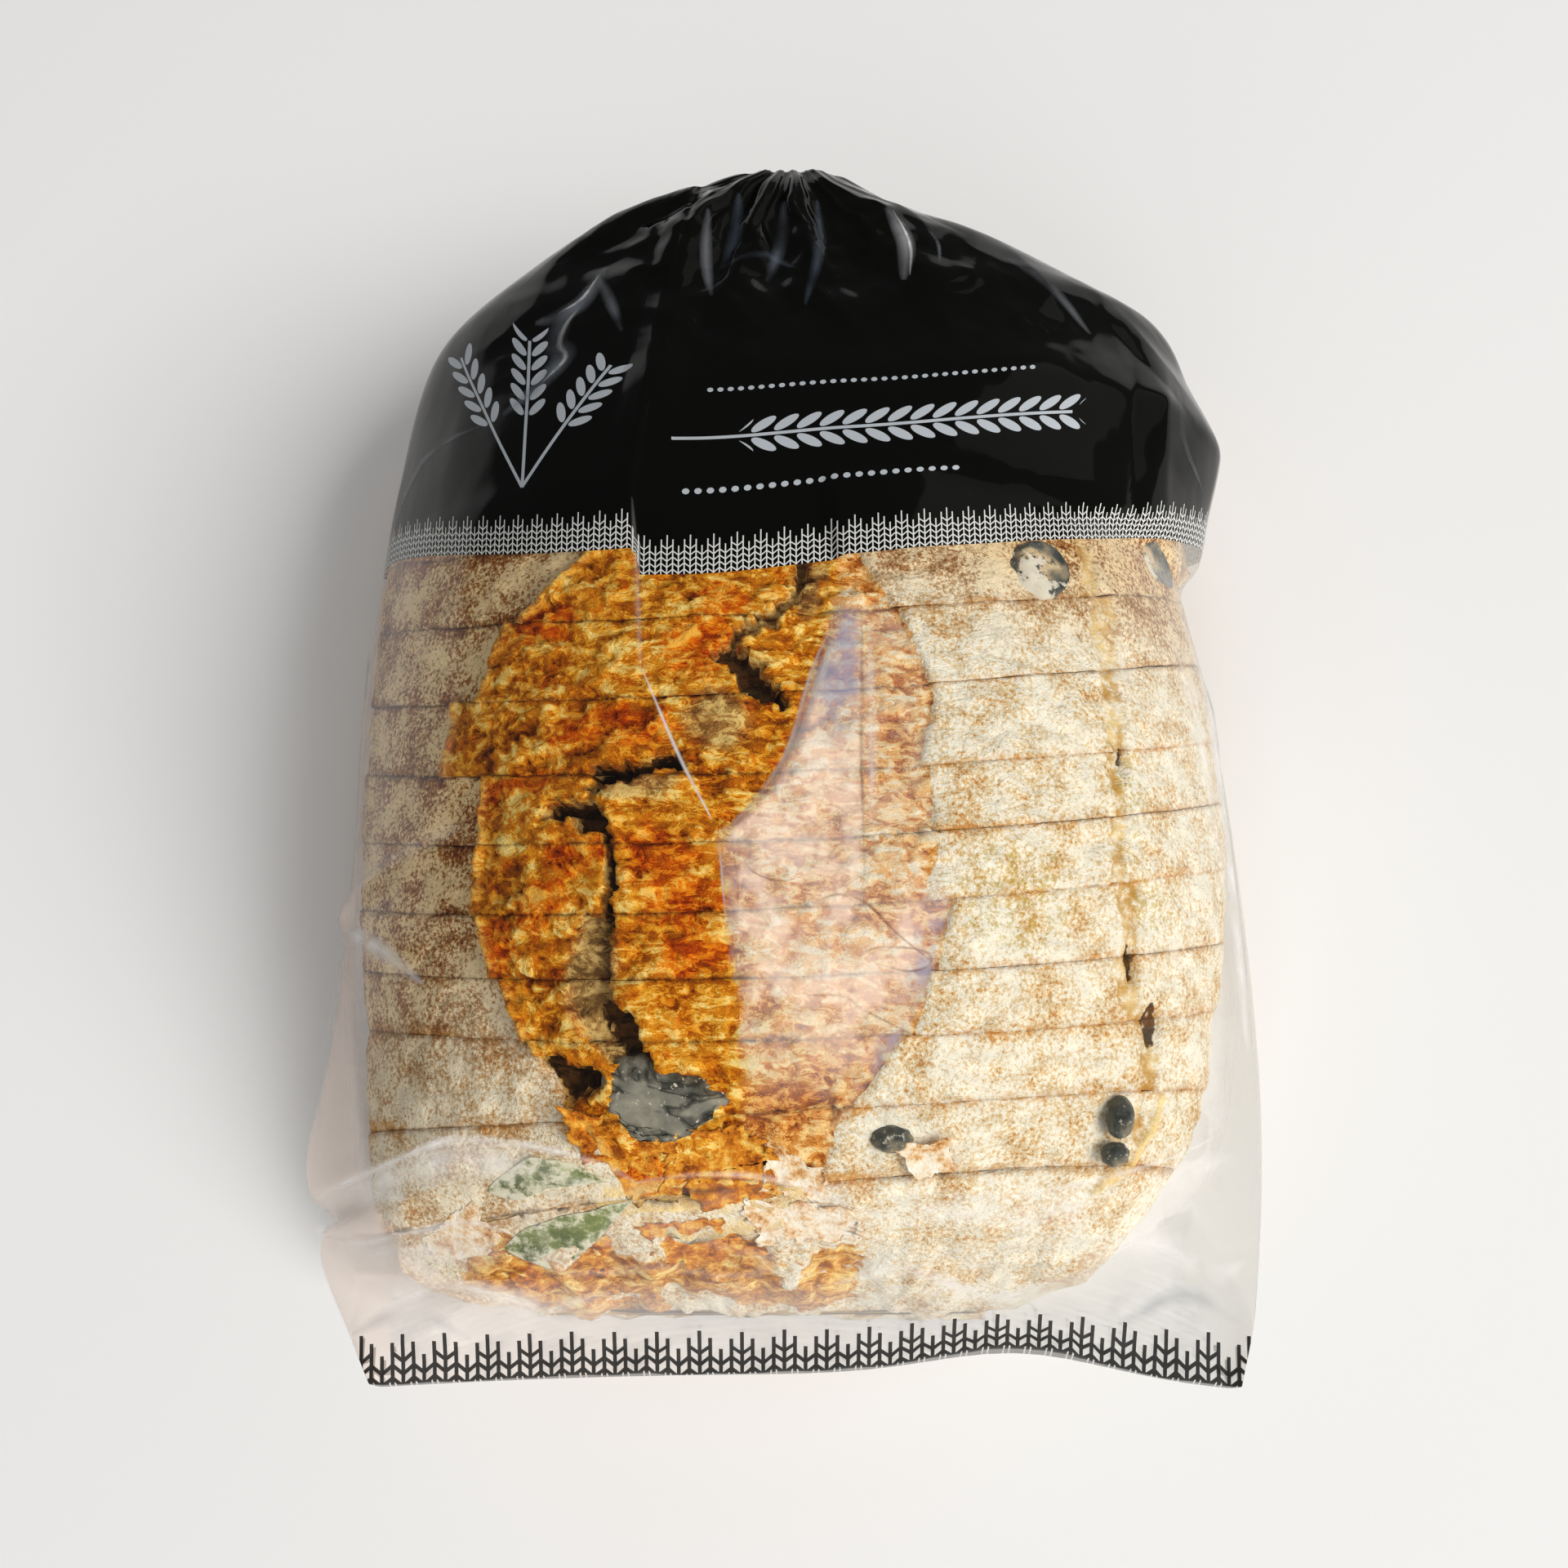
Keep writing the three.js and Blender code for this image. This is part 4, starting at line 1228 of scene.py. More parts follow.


# Painted highlights, reflections and shade along sharp folds and creases of the film, as flat narrow ribbons:
# line in plan, half width, tone (0 dark painted shade, 1 bright painted highlight) and how much of what lies
# below the ribbon covers
Fold = namedtuple("Fold", "line half_width tone cover")
FOLD_STEPS = 90
FOLD_GAP = 0.3
FOLD_MOST_COVER = 0.85
FOLDS = [
    Fold([(-29.3, 1.5), (-21.6, -17.8), (-14.6, -31.9)], 0.5, 1.0, 1.2),
    Fold([(-31.9, 42), (-30.6, 24), (-29.9, 10.4), (-29.3, 0)], 0.9, 0.7, 0.2),
    Fold([(9.4, 9), (5.5, -0.7), (0.8, -17.2), (-4.5, -26.2), (-10.9, -33.4), (-14, -34.4)], 0.8, 0.85, 0.8),
    Fold([(9.8, 6), (6.8, -4), (2.4, -16.2), (-2.9, -25)], 1.6, 0.6, 0.6),
    Fold([(-13.3, -34.4), (-12.3, -45.3), (-11.6, -53)], 0.4, 0.8, 0.7),
    Fold([(-10.6, -36), (-9.4, -44.7), (-9.2, -50.5)], 0.35, 0.0, 0.5),
    Fold([(-9, -38.5), (-6.5, -43), (-1, -45), (4.1, -44)], 0.3, 0.0, 0.5),
    Fold([(15.8, 12), (15.7, -4), (15.5, -18), (16, -44)], 0.7, 0.05, 0.5),
    Fold([(17.6, 10), (17.4, -6), (17.6, -22), (17.2, -34)], 1.6, 0.9, 0.3),
    Fold([(6, -49), (11, -47.6), (16.4, -49.3), (23, -55.3), (31.3, -61.1)], 0.5, 0.0, 0.6),
    Fold([(15.4, -58.6), (20, -57.5), (28, -58), (29, -60.5), (24.6, -61.8), (18, -60.5)], 0.45, 0.05, 0.6),
    Fold([(4.9, -66.2), (12, -66.5), (16.4, -68.9), (26.4, -72.9)], 0.45, 0.05, 0.6),
    Fold([(-101.1, -90.1), (-84.4, -90.6), (-68.5, -88.6), (-53.7, -89.8), (-37.6, -93.7), (-29.6, -97.1)],
         1.0, 0.9, 0.6),
    Fold([(-100, -91), (-84.4, -92.6), (-68.5, -91), (-53.7, -93.3), (-40, -97)], 4.2, 0.85, 0.42),
    Fold([(-98.6, -98), (-90, -101.6), (-79.5, -101.3), (-66, -101), (-56, -103.5)], 0.9, 0.85, 0.5),
    Fold([(-97, -101), (-86, -104), (-75, -104.6), (-58, -106.3), (-44, -108)], 4.0, 0.8, 0.4),
    Fold([(-100.8, -95.8), (-95, -96.4), (-88, -94.6), (-78, -96)], 2.2, 0.8, 0.4),
    Fold([(28.7, -98.7), (42, -98.8), (56, -96.9), (77.5, -90.9), (90, -83.3)], 0.8, 0.75, 0.5),
    Fold([(26, -101), (42, -101.8), (58, -99.9), (78, -94), (94, -86)], 3.4, 0.8, 0.35),
    Fold([(-32.3, -97), (-16.7, -95.8), (-1.8, -96.7), (15.4, -101.1), (30, -104)], 0.8, 0.85, 0.35),
    Fold([(-95.7, -32.8), (-87.7, -42.2), (-74.4, -56.7)], 2.2, 0.85, 0.8),
    Fold([(-33, -96.8), (-20, -96.2), (-6, -96.8), (2, -97.8)], 0.35, 0.0, 0.6),
    Fold([(-24, -97.6), (-17, -98.4), (-11, -97.8)], 0.8, 0.0, 0.8),
    Fold([(86.1, 40.3), (93, 21), (95.6, -6), (97, -34), (98.2, -62)], 2.6, 0.9, 0.5),
    Fold([(83.2, 31), (87.6, 14.3), (91, -1.5), (92.4, -24)], 1.4, 0.85, 0.4),
    Fold([(89, 36), (95.2, 21), (97, -6), (98.6, -34), (100, -62)], 0.5, 0.3, 0.5),
    Fold([(-90.2, 44), (-91.8, 16.6), (-92.6, -11.4), (-93.6, -27)], 2.0, 0.6, 0.4),
    Fold([(-92.8, 40), (-93.6, 16), (-94, -10), (-95.4, -28)], 0.5, 0.4, 0.4),
    Fold([(-96, -34), (-97.4, -50), (-99, -72), (-99.6, -84)], 1.6, 0.75, 0.4),
    Fold([(60, -108), (76, -104), (90, -108), (98, -104)], 2.6, 0.75, 0.4),
    Fold([(70, -118), (84, -112), (97, -116)], 2.2, 0.3, 0.3),
    Fold([(-86, -114), (-70, -111), (-52, -115), (-36, -113)], 1.6, 0.8, 0.45),
    Fold([(-92, -118), (-80, -115), (-66, -120)], 2.2, 0.45, 0.35),
    Fold([(10, -112), (26, -110), (44, -114), (58, -111)], 1.4, 0.8, 0.5),
    Fold([(-44.4, 102.3), (-48.8, 97), (-50.5, 90), (-48.3, 86), (-54.4, 77.7), (-61.5, 72.6)],
         3.2, 0.28, 0.75),
    Fold([(-45.4, 100.3), (-48.4, 95), (-49.4, 90), (-48, 85), (-53, 79)], 0.9, 0.75, 0.7),
    Fold([(-39.8, 112.6), (-44.4, 102.3), (-50, 98.6), (-55.4, 98.2)], 2.8, 0.3, 0.65),
    Fold([(-41, 110.5), (-44.8, 103), (-50, 99.6)], 0.6, 0.8, 0.6),
    Fold([(-42, 110.1), (-38.6, 100.9), (-35.6, 90.6)], 1.6, 0.34, 0.5),
    Fold([(-17, 126), (-17.4, 112), (-16, 100)], 1.6, 0.34, 0.55),
    Fold([(23, 127.5), (27, 117.5), (26.4, 105.6)], 2.4, 0.42, 0.55),
    Fold([(24.4, 127), (28, 117), (27.8, 107)], 0.5, 0.85, 0.6),
    Fold([(50, 117), (60, 108), (68, 96)], 1.6, 0.34, 0.35),
    Fold([(31.3, 125), (34.4, 118.3), (34.5, 110.1)], 0.6, 0.3, 0.4),
    Fold([(-10.2, 132.6), (-11, 119.5), (-13.6, 109.4)], 2.0, 0.2, 0.4),
    Fold([(0, 129.7), (-0.9, 116.8), (-4, 105.2)], 1.8, 0.25, 0.35),
    Fold([(7.4, 131.1), (7.8, 114.3), (4.5, 97.3)], 1.5, 0.2, 0.35),
    Fold([(-14.5, 109.5), (-3.6, 113.1), (2.7, 109.1)], 1.2, 0.2, 0.3),
    Fold([(88, 88.4), (89.1, 74.4), (94, 68)], 1.0, 0.3, 0.35),
    Fold([(-88.3, 58), (-84.1, 66.9), (-79, 71.6), (-66.2, 71.7)], 1.5, 0.35, 0.3),
]


def plan_direction(line, share):
    """The way that a smooth line in plan runs at shares along it."""
    ahead = catmull(line, np.minimum(share + 0.01, 1)) - catmull(line, np.maximum(share - 0.01, 0))
    return ahead / np.linalg.norm(ahead, axis=1, keepdims=True)


def build_folds():
    mesh, along, across = grid_mesh("film_folds", FOLD_STEPS, 3 * len(FOLDS) - 1)
    share, ribbon, side = along / FOLD_STEPS, across // 3, across % 3 - 1
    points, tones, covers = np.zeros((len(share), 3)), np.zeros(len(share)), np.zeros(len(share))
    for index, fold in enumerate(FOLDS):
        mine = ribbon == index
        line = [(x, y, 0.0) for x, y in fold.line]
        at, ahead = catmull(line, share[mine]), plan_direction(line, share[mine])
        wide = fold.half_width * np.sin(math.pi * (0.04 + 0.92 * share[mine])) ** 0.6 * side[mine]
        at[:, 0], at[:, 1] = at[:, 0] - ahead[:, 1] * wide, at[:, 1] + ahead[:, 0] * wide
        at[:, 2] = film_over(at[:, 0], at[:, 1]) + FOLD_GAP
        points[mine], tones[mine], covers[mine] = at, fold.tone, fold.cover
    paint(mesh, "tone", tones)
    broken = 0.8 + 0.9 * noise(points, 7.0, 151)
    covers = covers * broken * (1 - np.abs(side)) * np.sin(math.pi * share) ** 0.3
    paint(mesh, "cover", np.clip(covers, 0, FOLD_MOST_COVER))
    place_vertices(mesh, points)
    part_ribbons(mesh, ribbon)
    folds = add_object("film_folds", mesh, fold_glint_and_shade_material())
    folds.visible_shadow = folds.visible_diffuse = False
    dress(folds)


def part_ribbons(mesh, ribbon):
    """Takes out the faces between one ribbon and the next, and turns the rest upwards."""
    with edited(mesh) as bm:
        between = [face for face in bm.faces if len({int(ribbon[vertex.index]) for vertex in face.verts}) > 1]
        bmesh.ops.delete(bm, geom=between, context="FACES_ONLY")
        bm.normal_update()
        bmesh.ops.reverse_faces(bm, faces=[face for face in bm.faces if face.normal.z < 0])


# The loaf

CRUST_COLUMNS_TOP = 330
CRUST_COLUMNS_UNDER = 36
CRUST_STEP = 0.72
CAP_INSETS = (1.0, 0.82, 0.22, 0.06, 0.018)
CAP_MIDDLE_SHARE = 0.42
END_CROWDING = 1.9
BASE_POWER = 5
BASE_ROUNDNESS = 0.45
# Heights in millimetres of the crust's swell, grain, creases and broken front end
CRUST_SWELL_HEIGHT = 0.9
FINE_GRAIN_HEIGHT, COARSE_GRAIN_HEIGHT = 0.16, 0.35
CRUST_CREASE_HEIGHT, CRUST_CREASE_WIDTH = 0.5, 0.12
FRONT_BREAK_HEIGHT = 2.2
# The torn crust stands proud at the left of the loaf, and lies this much lower at the right
TORN_LIFT, TORN_DROP = 1.2, 2.5
# The darker heel at the front: its middle across, and where its bottom, top and sides fade
HEEL_X = -24.0
HEEL_BOTTOM, HEEL_TOP, HEEL_SIDES = (10, 13), (27, 33), (32, 44)
# Sizes in millimetres of the torn crust's scales and chips, and of its fibres and grains
TORN_SCALE_SIZE, TORN_CHIP_SIZE = (9.0, 5.2), (3.4, 2.1)
TORN_FIBRE_SIZE, TORN_GRAIN_SIZE = 1.7, 2.0
ROUNDED_EDGE = 0.24


def loaf_section(across, y):
    """The smooth loaf's x and z at a column and a place along it."""
    left, right, crest = keyed(LOAF_LEFT, y), keyed(LOAF_RIGHT, y), keyed(LOAF_CREST, y)
    belly = np.minimum(LOAF_BELLY, BELLY_SHARE * crest)
    on_top = across <= CRUST_COLUMNS_TOP
    u = 2 * across / CRUST_COLUMNS_TOP - 1
    turn = math.pi * (across - CRUST_COLUMNS_TOP) / CRUST_COLUMNS_UNDER
    s = np.clip(np.where(on_top, 0.3 * u + 0.7 * np.sin(math.pi * u / 2), np.cos(turn)), -1, 1)
    dome = (1 - np.abs(s) ** LOAF_DOME_POWER) ** LOAF_DOME_ROUNDNESS
    base = 1 - (1 - np.abs(s) ** BASE_POWER) ** BASE_ROUNDNESS
    z = np.where(on_top, belly + (crest - belly) * dome, LOAF_FLOOR + (belly - LOAF_FLOOR) * base)
    return (left + right + s * (right - left)) / 2, z


def cut_shift(centre_y, turn, x, z):
    """How far behind its slice's middle line a place on a cut lies."""
    lean = keyed(CUT_LEAN, centre_y)
    return turn * x + lean * (keyed(LOAF_CREST, centre_y) - z + CUT_BOW * x * x)


def tear_amount(piece, x, share):
    """1 on a slice's torn crust, and 1 along its left lip; share runs from the slice's back to its front."""
    if piece.left is None:
        return np.zeros(x.shape), np.zeros(x.shape)
    left = piece.left[0] + (piece.left[1] - piece.left[0]) * share
    right = piece.right[0] + (piece.right[1] - piece.right[0]) * share
    amount = smoothstep(left - 0.8, left + 0.8, x) * (1 - smoothstep(right - 1.0, right + 1.0, x))
    return amount, np.exp(-(((x - left - 0.7) / 0.9) ** 2))


def wandering(points, x_seed, y_seed):
    """Plan places pushed about, so that what is drawn from lines comes out ragged."""
    x = points[:, 0] + 1.7 * noise(points, 8.0, x_seed) + 1.1 * layered_noise(points, 3.2, 3, x_seed + 5, 0.7)
    y = points[:, 1] + 1.7 * noise(points, 8.0, y_seed) + 1.1 * layered_noise(points, 3.2, 3, y_seed + 5, 0.7)
    return x, y


def crack_depth(points):
    """How deep the cracks go at each point, and how close it lies to a crack's lip."""
    x, y = wandering(points, 21, 31)
    depth, lip = np.zeros(len(points)), np.zeros(len(points))
    for crack in CRACKS:
        gap, run = line_gap(x, y, crack.line)
        wide = crack.width * (0.5 + 0.7 * np.sin(math.pi * np.clip(run * 0.86 + 0.07, 0, 1)))
        depth = np.maximum(depth, crack.depth * (1 - smoothstep(0.82 * wide, 1.06 * wide, gap)))
        lip = np.maximum(lip, (crack.depth > 4) * np.exp(-(((gap - wide - 1.6) / CRACK_LIP_WIDTH) ** 2)))
    return depth, lip


def patches(x, y, table):
    total = np.zeros(x.shape)
    for middle, half_sizes in table:
        total = np.maximum(total, patch(x, y, middle, half_sizes))
    return total


def torn_relief(points, depth, lip):
    """Height of the torn crust: broken flakes, fibres drawn out across the loaf, grains at the left."""
    x, y = wandering(points, 41, 51)
    streaky = smoothstep(-44, -28, points[:, 0])
    level, edge = flakes(x, y, TORN_SCALE_SIZE, 3)
    small, _ = flakes(x, y, TORN_CHIP_SIZE, 11)
    fibres = 0.42 - np.abs(noise(points * (0.26, 1.0, 1.0), TORN_FIBRE_SIZE, 61))
    grains = 0.4 - np.abs(noise(points, TORN_GRAIN_SIZE, 71))
    rough = 0.75 * level + 0.34 * small + 0.6 * fibres * streaky + 0.75 * grains * (1 - 0.7 * streaky)
    lifted = TORN_LIFT - TORN_DROP * smoothstep(-52, 24, points[:, 0])
    inside = 1 - smoothstep(0.5, 2.0, depth)
    # The flakes' edges dip, and the material paints them darker as shade
    gaps = (1 - smoothstep(0.02, 0.16, edge)) * smoothstep(-0.2, 0.5, level)
    relief = lifted + (rough + CRACK_LIP_HEIGHT * lip) * inside + 0.5 * rough * (1 - inside) - 0.5 * gaps
    # How high the crust stands, which the material paints as light on top and shade low down
    ridge = 0.5 + 0.32 * level + 0.22 * small + 0.5 * fibres * streaky + 0.5 * grains * (1 - streaky)
    return relief, np.clip(ridge, 0, 1), gaps, streaky


def crust_relief(points, piece, share, faces_up):
    """Relief of the crust and the values that its material reads, for one slice."""
    x, y = points[:, 0], points[:, 1]
    wobble = 1.1 * layered_noise(points, 7.0, 3, 51)
    tear, lip_line = tear_amount(piece, x + 0.8 * wobble, share)
    tear, lip_line = tear * faces_up, lip_line * faces_up
    depth, lip = crack_depth(points)
    layers = np.min([line_gap(x, y + 0.4 * wobble, corners)[0] for corners in LAYER_EDGES], axis=0)
    layers = (1 - smoothstep(0.3, 0.9, layers)) * faces_up
    torn, ridge, gaps, streaky = torn_relief(points, depth, lip)
    wandered = x + wobble + 2.0 * math.sin(2.3 * piece.front) + 0.7 * noise(points, 1.6, 191)
    gap, _ = line_gap(wandered, y, SCORE_LINE)
    wide = SCORE_HALF_WIDTH * (0.75 + 0.4 * math.sin(1.7 * piece.front))
    score = (1 - smoothstep(0.8 * wide, 1.1 * wide, gap)) * faces_up
    holes = patches(x + 0.4 * wobble, y, SCORE_HOLES) * faces_up
    swell = CRUST_SWELL_HEIGHT * layered_noise(points, 22.0, 3, 61)
    grain = FINE_GRAIN_HEIGHT * layered_noise(points, 2.6, 3, 71, 0.6)
    grain = grain + COARSE_GRAIN_HEIGHT * noise(points, 7.0, 75)
    off_crease = np.abs(noise(points * (0.5, 1.0, 1.0), 15.0, 81))
    crease = CRUST_CREASE_HEIGHT * np.maximum(0, CRUST_CREASE_WIDTH - off_crease) / CRUST_CREASE_WIDTH
    depth = depth * np.maximum(tear, (y < -90) * faces_up)
    relief = swell + (grain - crease) * (1 - tear) + torn * tear - depth
    relief = relief - SCORE_DEPTH * score - SCORE_HOLE_DEPTH * holes
    relief += LAYER_HEIGHT * layers + TORN_LIP_HEIGHT * lip_line
    relief += FRONT_BREAK_HEIGHT * layered_noise(points, 13.0, 4, 85, 0.6) * smoothstep(-96, -108, y)
    x, y = x + 2 * wobble, y + 2 * wobble
    # Browner, darker crust at the left and the back, less towards the front: thinner flour and painted shade
    tan = np.clip(1 - smoothstep(-66, 6, x) * (1 - smoothstep(6, 40, y)), 0, 1)
    tan = tan * (1 - 0.7 * smoothstep(-40, -84, y))
    # Paler torn crust right of the arc, under the film's dust and painted sheen, partly as that painted sheen
    pale = right_of_arc(x, y, 3.0) * (0.45 + 0.55 * smoothstep(-84, -52, y)) * (1 - smoothstep(36, 42, y))
    crumb = np.clip(patches(x, y, CRUMB_PATCHES) * 0.8 + smoothstep(0.8, 2.2, depth), 0, 1)
    values = {
        "tear": tear, "pit": np.clip(smoothstep(2.2, 6.0, depth) + holes * 0.8, 0, 1), "crumb": crumb,
        "ridge": ridge, "gap": gaps, "streaky": streaky, "burnt": patches(x, y, BURNT_PATCHES),
        "score": score, "stain": patches(x, y, STAINS) * faces_up, "layer": layers, "tan": tan,
        "pale": pale, "lip": lip_line,
    }
    return relief, values


def slice_rows(length, end_of_loaf):
    """Shares along a slice from its back to its front, and how far each ring is drawn inwards."""
    steps = max(8, int(length / CRUST_STEP))
    shares = np.linspace(0, 1, steps + 1)
    if end_of_loaf == "back":
        shares = shares ** END_CROWDING
    if end_of_loaf == "front":
        shares = 1 - (1 - shares) ** END_CROWDING
    before, after = list(CAP_INSETS), list(CAP_INSETS[::-1])
    along = np.concatenate([np.zeros(len(before)), shares, np.ones(len(after))])
    inset = np.concatenate([before, np.zeros(steps + 1), after])
    return along, inset, (inset > CAP_INSETS[-1] / 2).astype(float)


def inside_film(points):
    """The points, held inside the film's side edges and between its two sheets."""
    x, y, z = points.T
    x = np.clip(x, keyed(LEFT_EDGE, y) + EDGE_GAP, keyed(RIGHT_EDGE, y) - EDGE_GAP)
    z = np.minimum(z, film_over(x, y) - FILM_CLEARANCE)
    return np.stack([x, y, np.maximum(z, film_under(x, y) + LOAF_FLOOR)], axis=1)


def slice_mesh(index, back, back_turn, piece, jitter):
    """One slice: rings of crust between two cuts, and the cut faces as rings drawn inwards."""
    front = piece.front
    end = "back" if index == 0 else "front" if index == len(SLICES) - 1 else None
    shares, insets, cuts = slice_rows(back - front, end)
    columns, rows = CRUST_COLUMNS_TOP + CRUST_COLUMNS_UNDER, len(shares) - 1
    mesh, across, along = grid_mesh(f"slice_{index + 1}", columns, rows)
    share, inset, cut = shares[along], insets[along], cuts[along]
    centre_y = back + (front - back) * share
    x, z = loaf_section(across, centre_y)
    turn = back_turn + (piece.turn - back_turn) * share
    y = np.maximum(centre_y + cut_shift(centre_y, turn, x, z), LOAF_FRONT_Y + FRONT_MARGIN)
    points = np.stack([x, y, z], axis=1)
    outward = ring_normals(points, across, along, columns, rows)
    faces_up = smoothstep(-0.1, 0.25, outward[:, 2])
    relief, values = crust_relief(points, piece, share, faces_up)
    to_cut = {"back": 1 - share, "front": share}.get(end, np.minimum(share, 1 - share))
    from_edge = to_cut * (back - front)
    ragged = noise(points, 4.0, 91) + 0.6 * noise(points, 1.5, 95)
    worn = smoothstep(-0.35, 0.5, noise(points * (1, 0.2, 1), 13.0, 97 + 3 * index))
    worn = worn * (1 - 0.5 * smoothstep(10, 40, points[:, 0]))
    relief = relief - ROUNDED_EDGE * (0.2 + worn) * (1 - smoothstep(0, 0.9, from_edge + 0.4 * ragged))
    points = points + outward * relief[:, None]
    middle = np.stack([np.zeros(len(x)), y, CAP_MIDDLE_SHARE * keyed(LOAF_CREST, centre_y)], axis=1)
    points = points + (middle - points) * inset[:, None] * (1.0, 0.0, 1.0)
    inner = centre_y + cut_shift(centre_y, turn, points[:, 0], points[:, 2])
    inner = np.maximum(inner + 0.3 * noise(points, 9.0, 101 + index), LOAF_FRONT_Y + FRONT_MARGIN)
    points[:, 1] = np.where(cut > 0, inner, points[:, 1])
    points = inside_film(points + jitter)
    values["cut"] = cut
    values["edge"] = (1 - smoothstep(0.2, 1.0, from_edge + 0.3 * ragged)) * (1 - cut) * (0.4 + 0.6 * worn)
    values["rim"] = (1 - smoothstep(0.4, 3.4, from_edge)) * worn
    values["baked"] = heel_crust(points, index)
    for name, value in values.items():
        paint(mesh, name, value)
    place_vertices(mesh, points)
    weld(mesh)
    return mesh


def heel_crust(points, index):
    """The darker bottom crust that shows low at the loaf's front end."""
    if index != len(SLICES) - 1:
        return np.zeros(len(points))
    z = points[:, 2] + 9 * layered_noise(points, 24.0, 3, 111, 0.5)
    away = np.abs(points[:, 0] - HEEL_X + 8 * noise(points, 20.0, 115))
    band = smoothstep(*HEEL_BOTTOM, z) * (1 - smoothstep(*HEEL_TOP, z)) * (1 - smoothstep(*HEEL_SIDES, away))
    return band * (0.85 + 0.3 * noise(points, 9.0, 119))


def ring_normals(points, across, along, columns, rows):
    """Outward directions of a tube of rings, from the steps between its neighbours."""
    order = np.lexsort((across, along))
    grid = points[order].reshape(rows + 1, columns + 1, 3)
    round_step = np.empty_like(grid)
    round_step[:, 1:-1] = grid[:, 2:] - grid[:, :-2]
    round_step[:, 0] = round_step[:, -1] = grid[:, 1] - grid[:, -2]
    along_step = np.gradient(grid, axis=0)
    still = np.linalg.norm(along_step, axis=2) < 1e-6
    along_step[still] = (0.0, -1.0, 0.0)
    out = np.cross(round_step, along_step)
    size = np.linalg.norm(out, axis=2, keepdims=True)
    out = out / np.maximum(size, 1e-9)
    crust = np.sign(np.sum(out[:, columns // 3, 2])) or 1.0
    return (out * crust).reshape(-1, 3)[np.argsort(order)]


def build_loaf(settings):
    material = bread_material(settings)
    draw = np.random.default_rng(settings.seed)
    back, back_turn = LOAF_BACK_Y, 0.0
    for index, piece in enumerate(SLICES):
        jitter = draw.uniform((-0.6, -0.1, -0.25), (0.6, 0.1, 0.1))
        mesh = slice_mesh(index, back, back_turn, piece, jitter)
        slice_object = add_object(f"slice_{index + 1}", mesh, material)
        dress(slice_object)
        back, back_turn = piece.front, piece.turn


# Flakes, olives and leaves on the loaf

# Corners in plan, how far the rim curls up, and 0 for bare crust to 1 for floury
Flake = namedtuple("Flake", "corners lift flour")
FLAKES = [
    Flake([(-45, -84.5), (-28.5, -87), (-26, -95.5), (-41, -93.5)], 3.8, 0.0),
    Flake([(-26.5, -90.5), (-9, -87.3), (-1.5, -92.8), (-24, -97.5)], 3.8, 0.0),
    Flake([(-20, -96), (-3, -94), (0, -99), (-17, -101)], 3.0, 0.15),
    Flake([(-3.6, -90.4), (9, -95.6), (7, -99.4), (-5.4, -98.4)], 2.2, 0.85),
    Flake([(23, -91.2), (34, -89.4), (36, -94), (27, -96)], 1.2, 0.7),
    Flake([(-60, -106), (-38, -105), (-36, -110), (-56, -111.6)], 2.4, 0.1),
    Flake([(-30, -103.5), (-12, -102), (-6, -107), (-26, -109)], 2.8, 0.05),
    Flake([(-8, -99.5), (12, -100.5), (16, -105), (-4, -106)], 2.0, 0.6),
    Flake([(-76, -102), (-64, -98), (-60, -105), (-72, -108)], 1.0, 0.75),
]
FLAKE_STEPS = 44
FLAKE_GAP = 0.4
FLAKE_THICKNESS = 0.0005


def drape(plan, above, clearance):
    """Points over the loaf at a height above it, kept under the film."""
    x, y = plan.T
    z = np.minimum(loaf_over(x, y) + above, film_over(x, y) - clearance)
    return np.stack([x, y, z], axis=1)


def build_flakes():
    material = flake_material()
    for index, flake in enumerate(FLAKES):
        mesh, across, along = grid_mesh(f"flake_{index + 1}", FLAKE_STEPS, FLAKE_STEPS)
        u, v = across / FLAKE_STEPS, along / FLAKE_STEPS
        a, b, c, d = (np.array(corner, float) for corner in flake.corners)
        top, bottom = a + u[:, None] * (b - a), d + u[:, None] * (c - d)
        plan = top + v[:, None] * (bottom - top)
        out = np.maximum(np.abs(2 * u - 1), np.abs(2 * v - 1))
        flat = in_plan(*plan.T)
        ragged = 0.27 * layered_noise(flat, 4.2, 4, 161 + index, 0.7) * smoothstep(0.3, 1.0, out)
        plan = plan + (plan - (a + b + c + d) / 4) * ragged[:, None]
        curl = flake.lift * (0.35 + 0.65 * out ** 3 * (0.5 + 0.9 * noise(flat, 9.0, 171 + index)))
        crisp = 0.35 * layered_noise(flat, 3.0, 2, 181 + index)
        above = FLAKE_GAP + np.maximum(curl, 0) + crisp
        place_vertices(mesh, drape(plan, above, TOPPING_CLEARANCE))
        paint(mesh, "flour", np.full(len(plan), flake.flour))
        piece = add_object(f"flake_{index + 1}", mesh, material)
        thicken(piece, FLAKE_THICKNESS)
        dress(piece)


# Place in plan, half sizes, how deep it lies in the crust, and how floury it is
Olive = namedtuple("Olive", "place half_sizes sunk dust")
OLIVES = [
    Olive((52.6, 29.3), (7.8, 6.8, 4.2), 0.5, 1.0),
    Olive((80.0, 45.3), (6.5, 5.0, 3.6), 0.5, 0.9),
    Olive((69.2, -82), (3.1, 4.6, 3.4), 1.1, 0.15),
    Olive((68.2, -88.8), (3.1, 2.6, 3.0), 1.1, 0.2),
    Olive((21.8, -88.9), (4.4, 3.0, 3.2), 1.05, 0.3),
    Olive((-25.0, -81.5), (14.0, 9.6, 4.6), 0.5, 0.12),
]
# Half length past which an olive is the large grey one, dust past which one is cut, and how far past its
# own half sizes an olive's paint reaches
LARGE_OLIVE = 10.0
CUT_OLIVE_DUST = 0.8
OLIVE_REACH = 1.6
OLIVE_SEGMENTS, OLIVE_RINGS = 40, 24


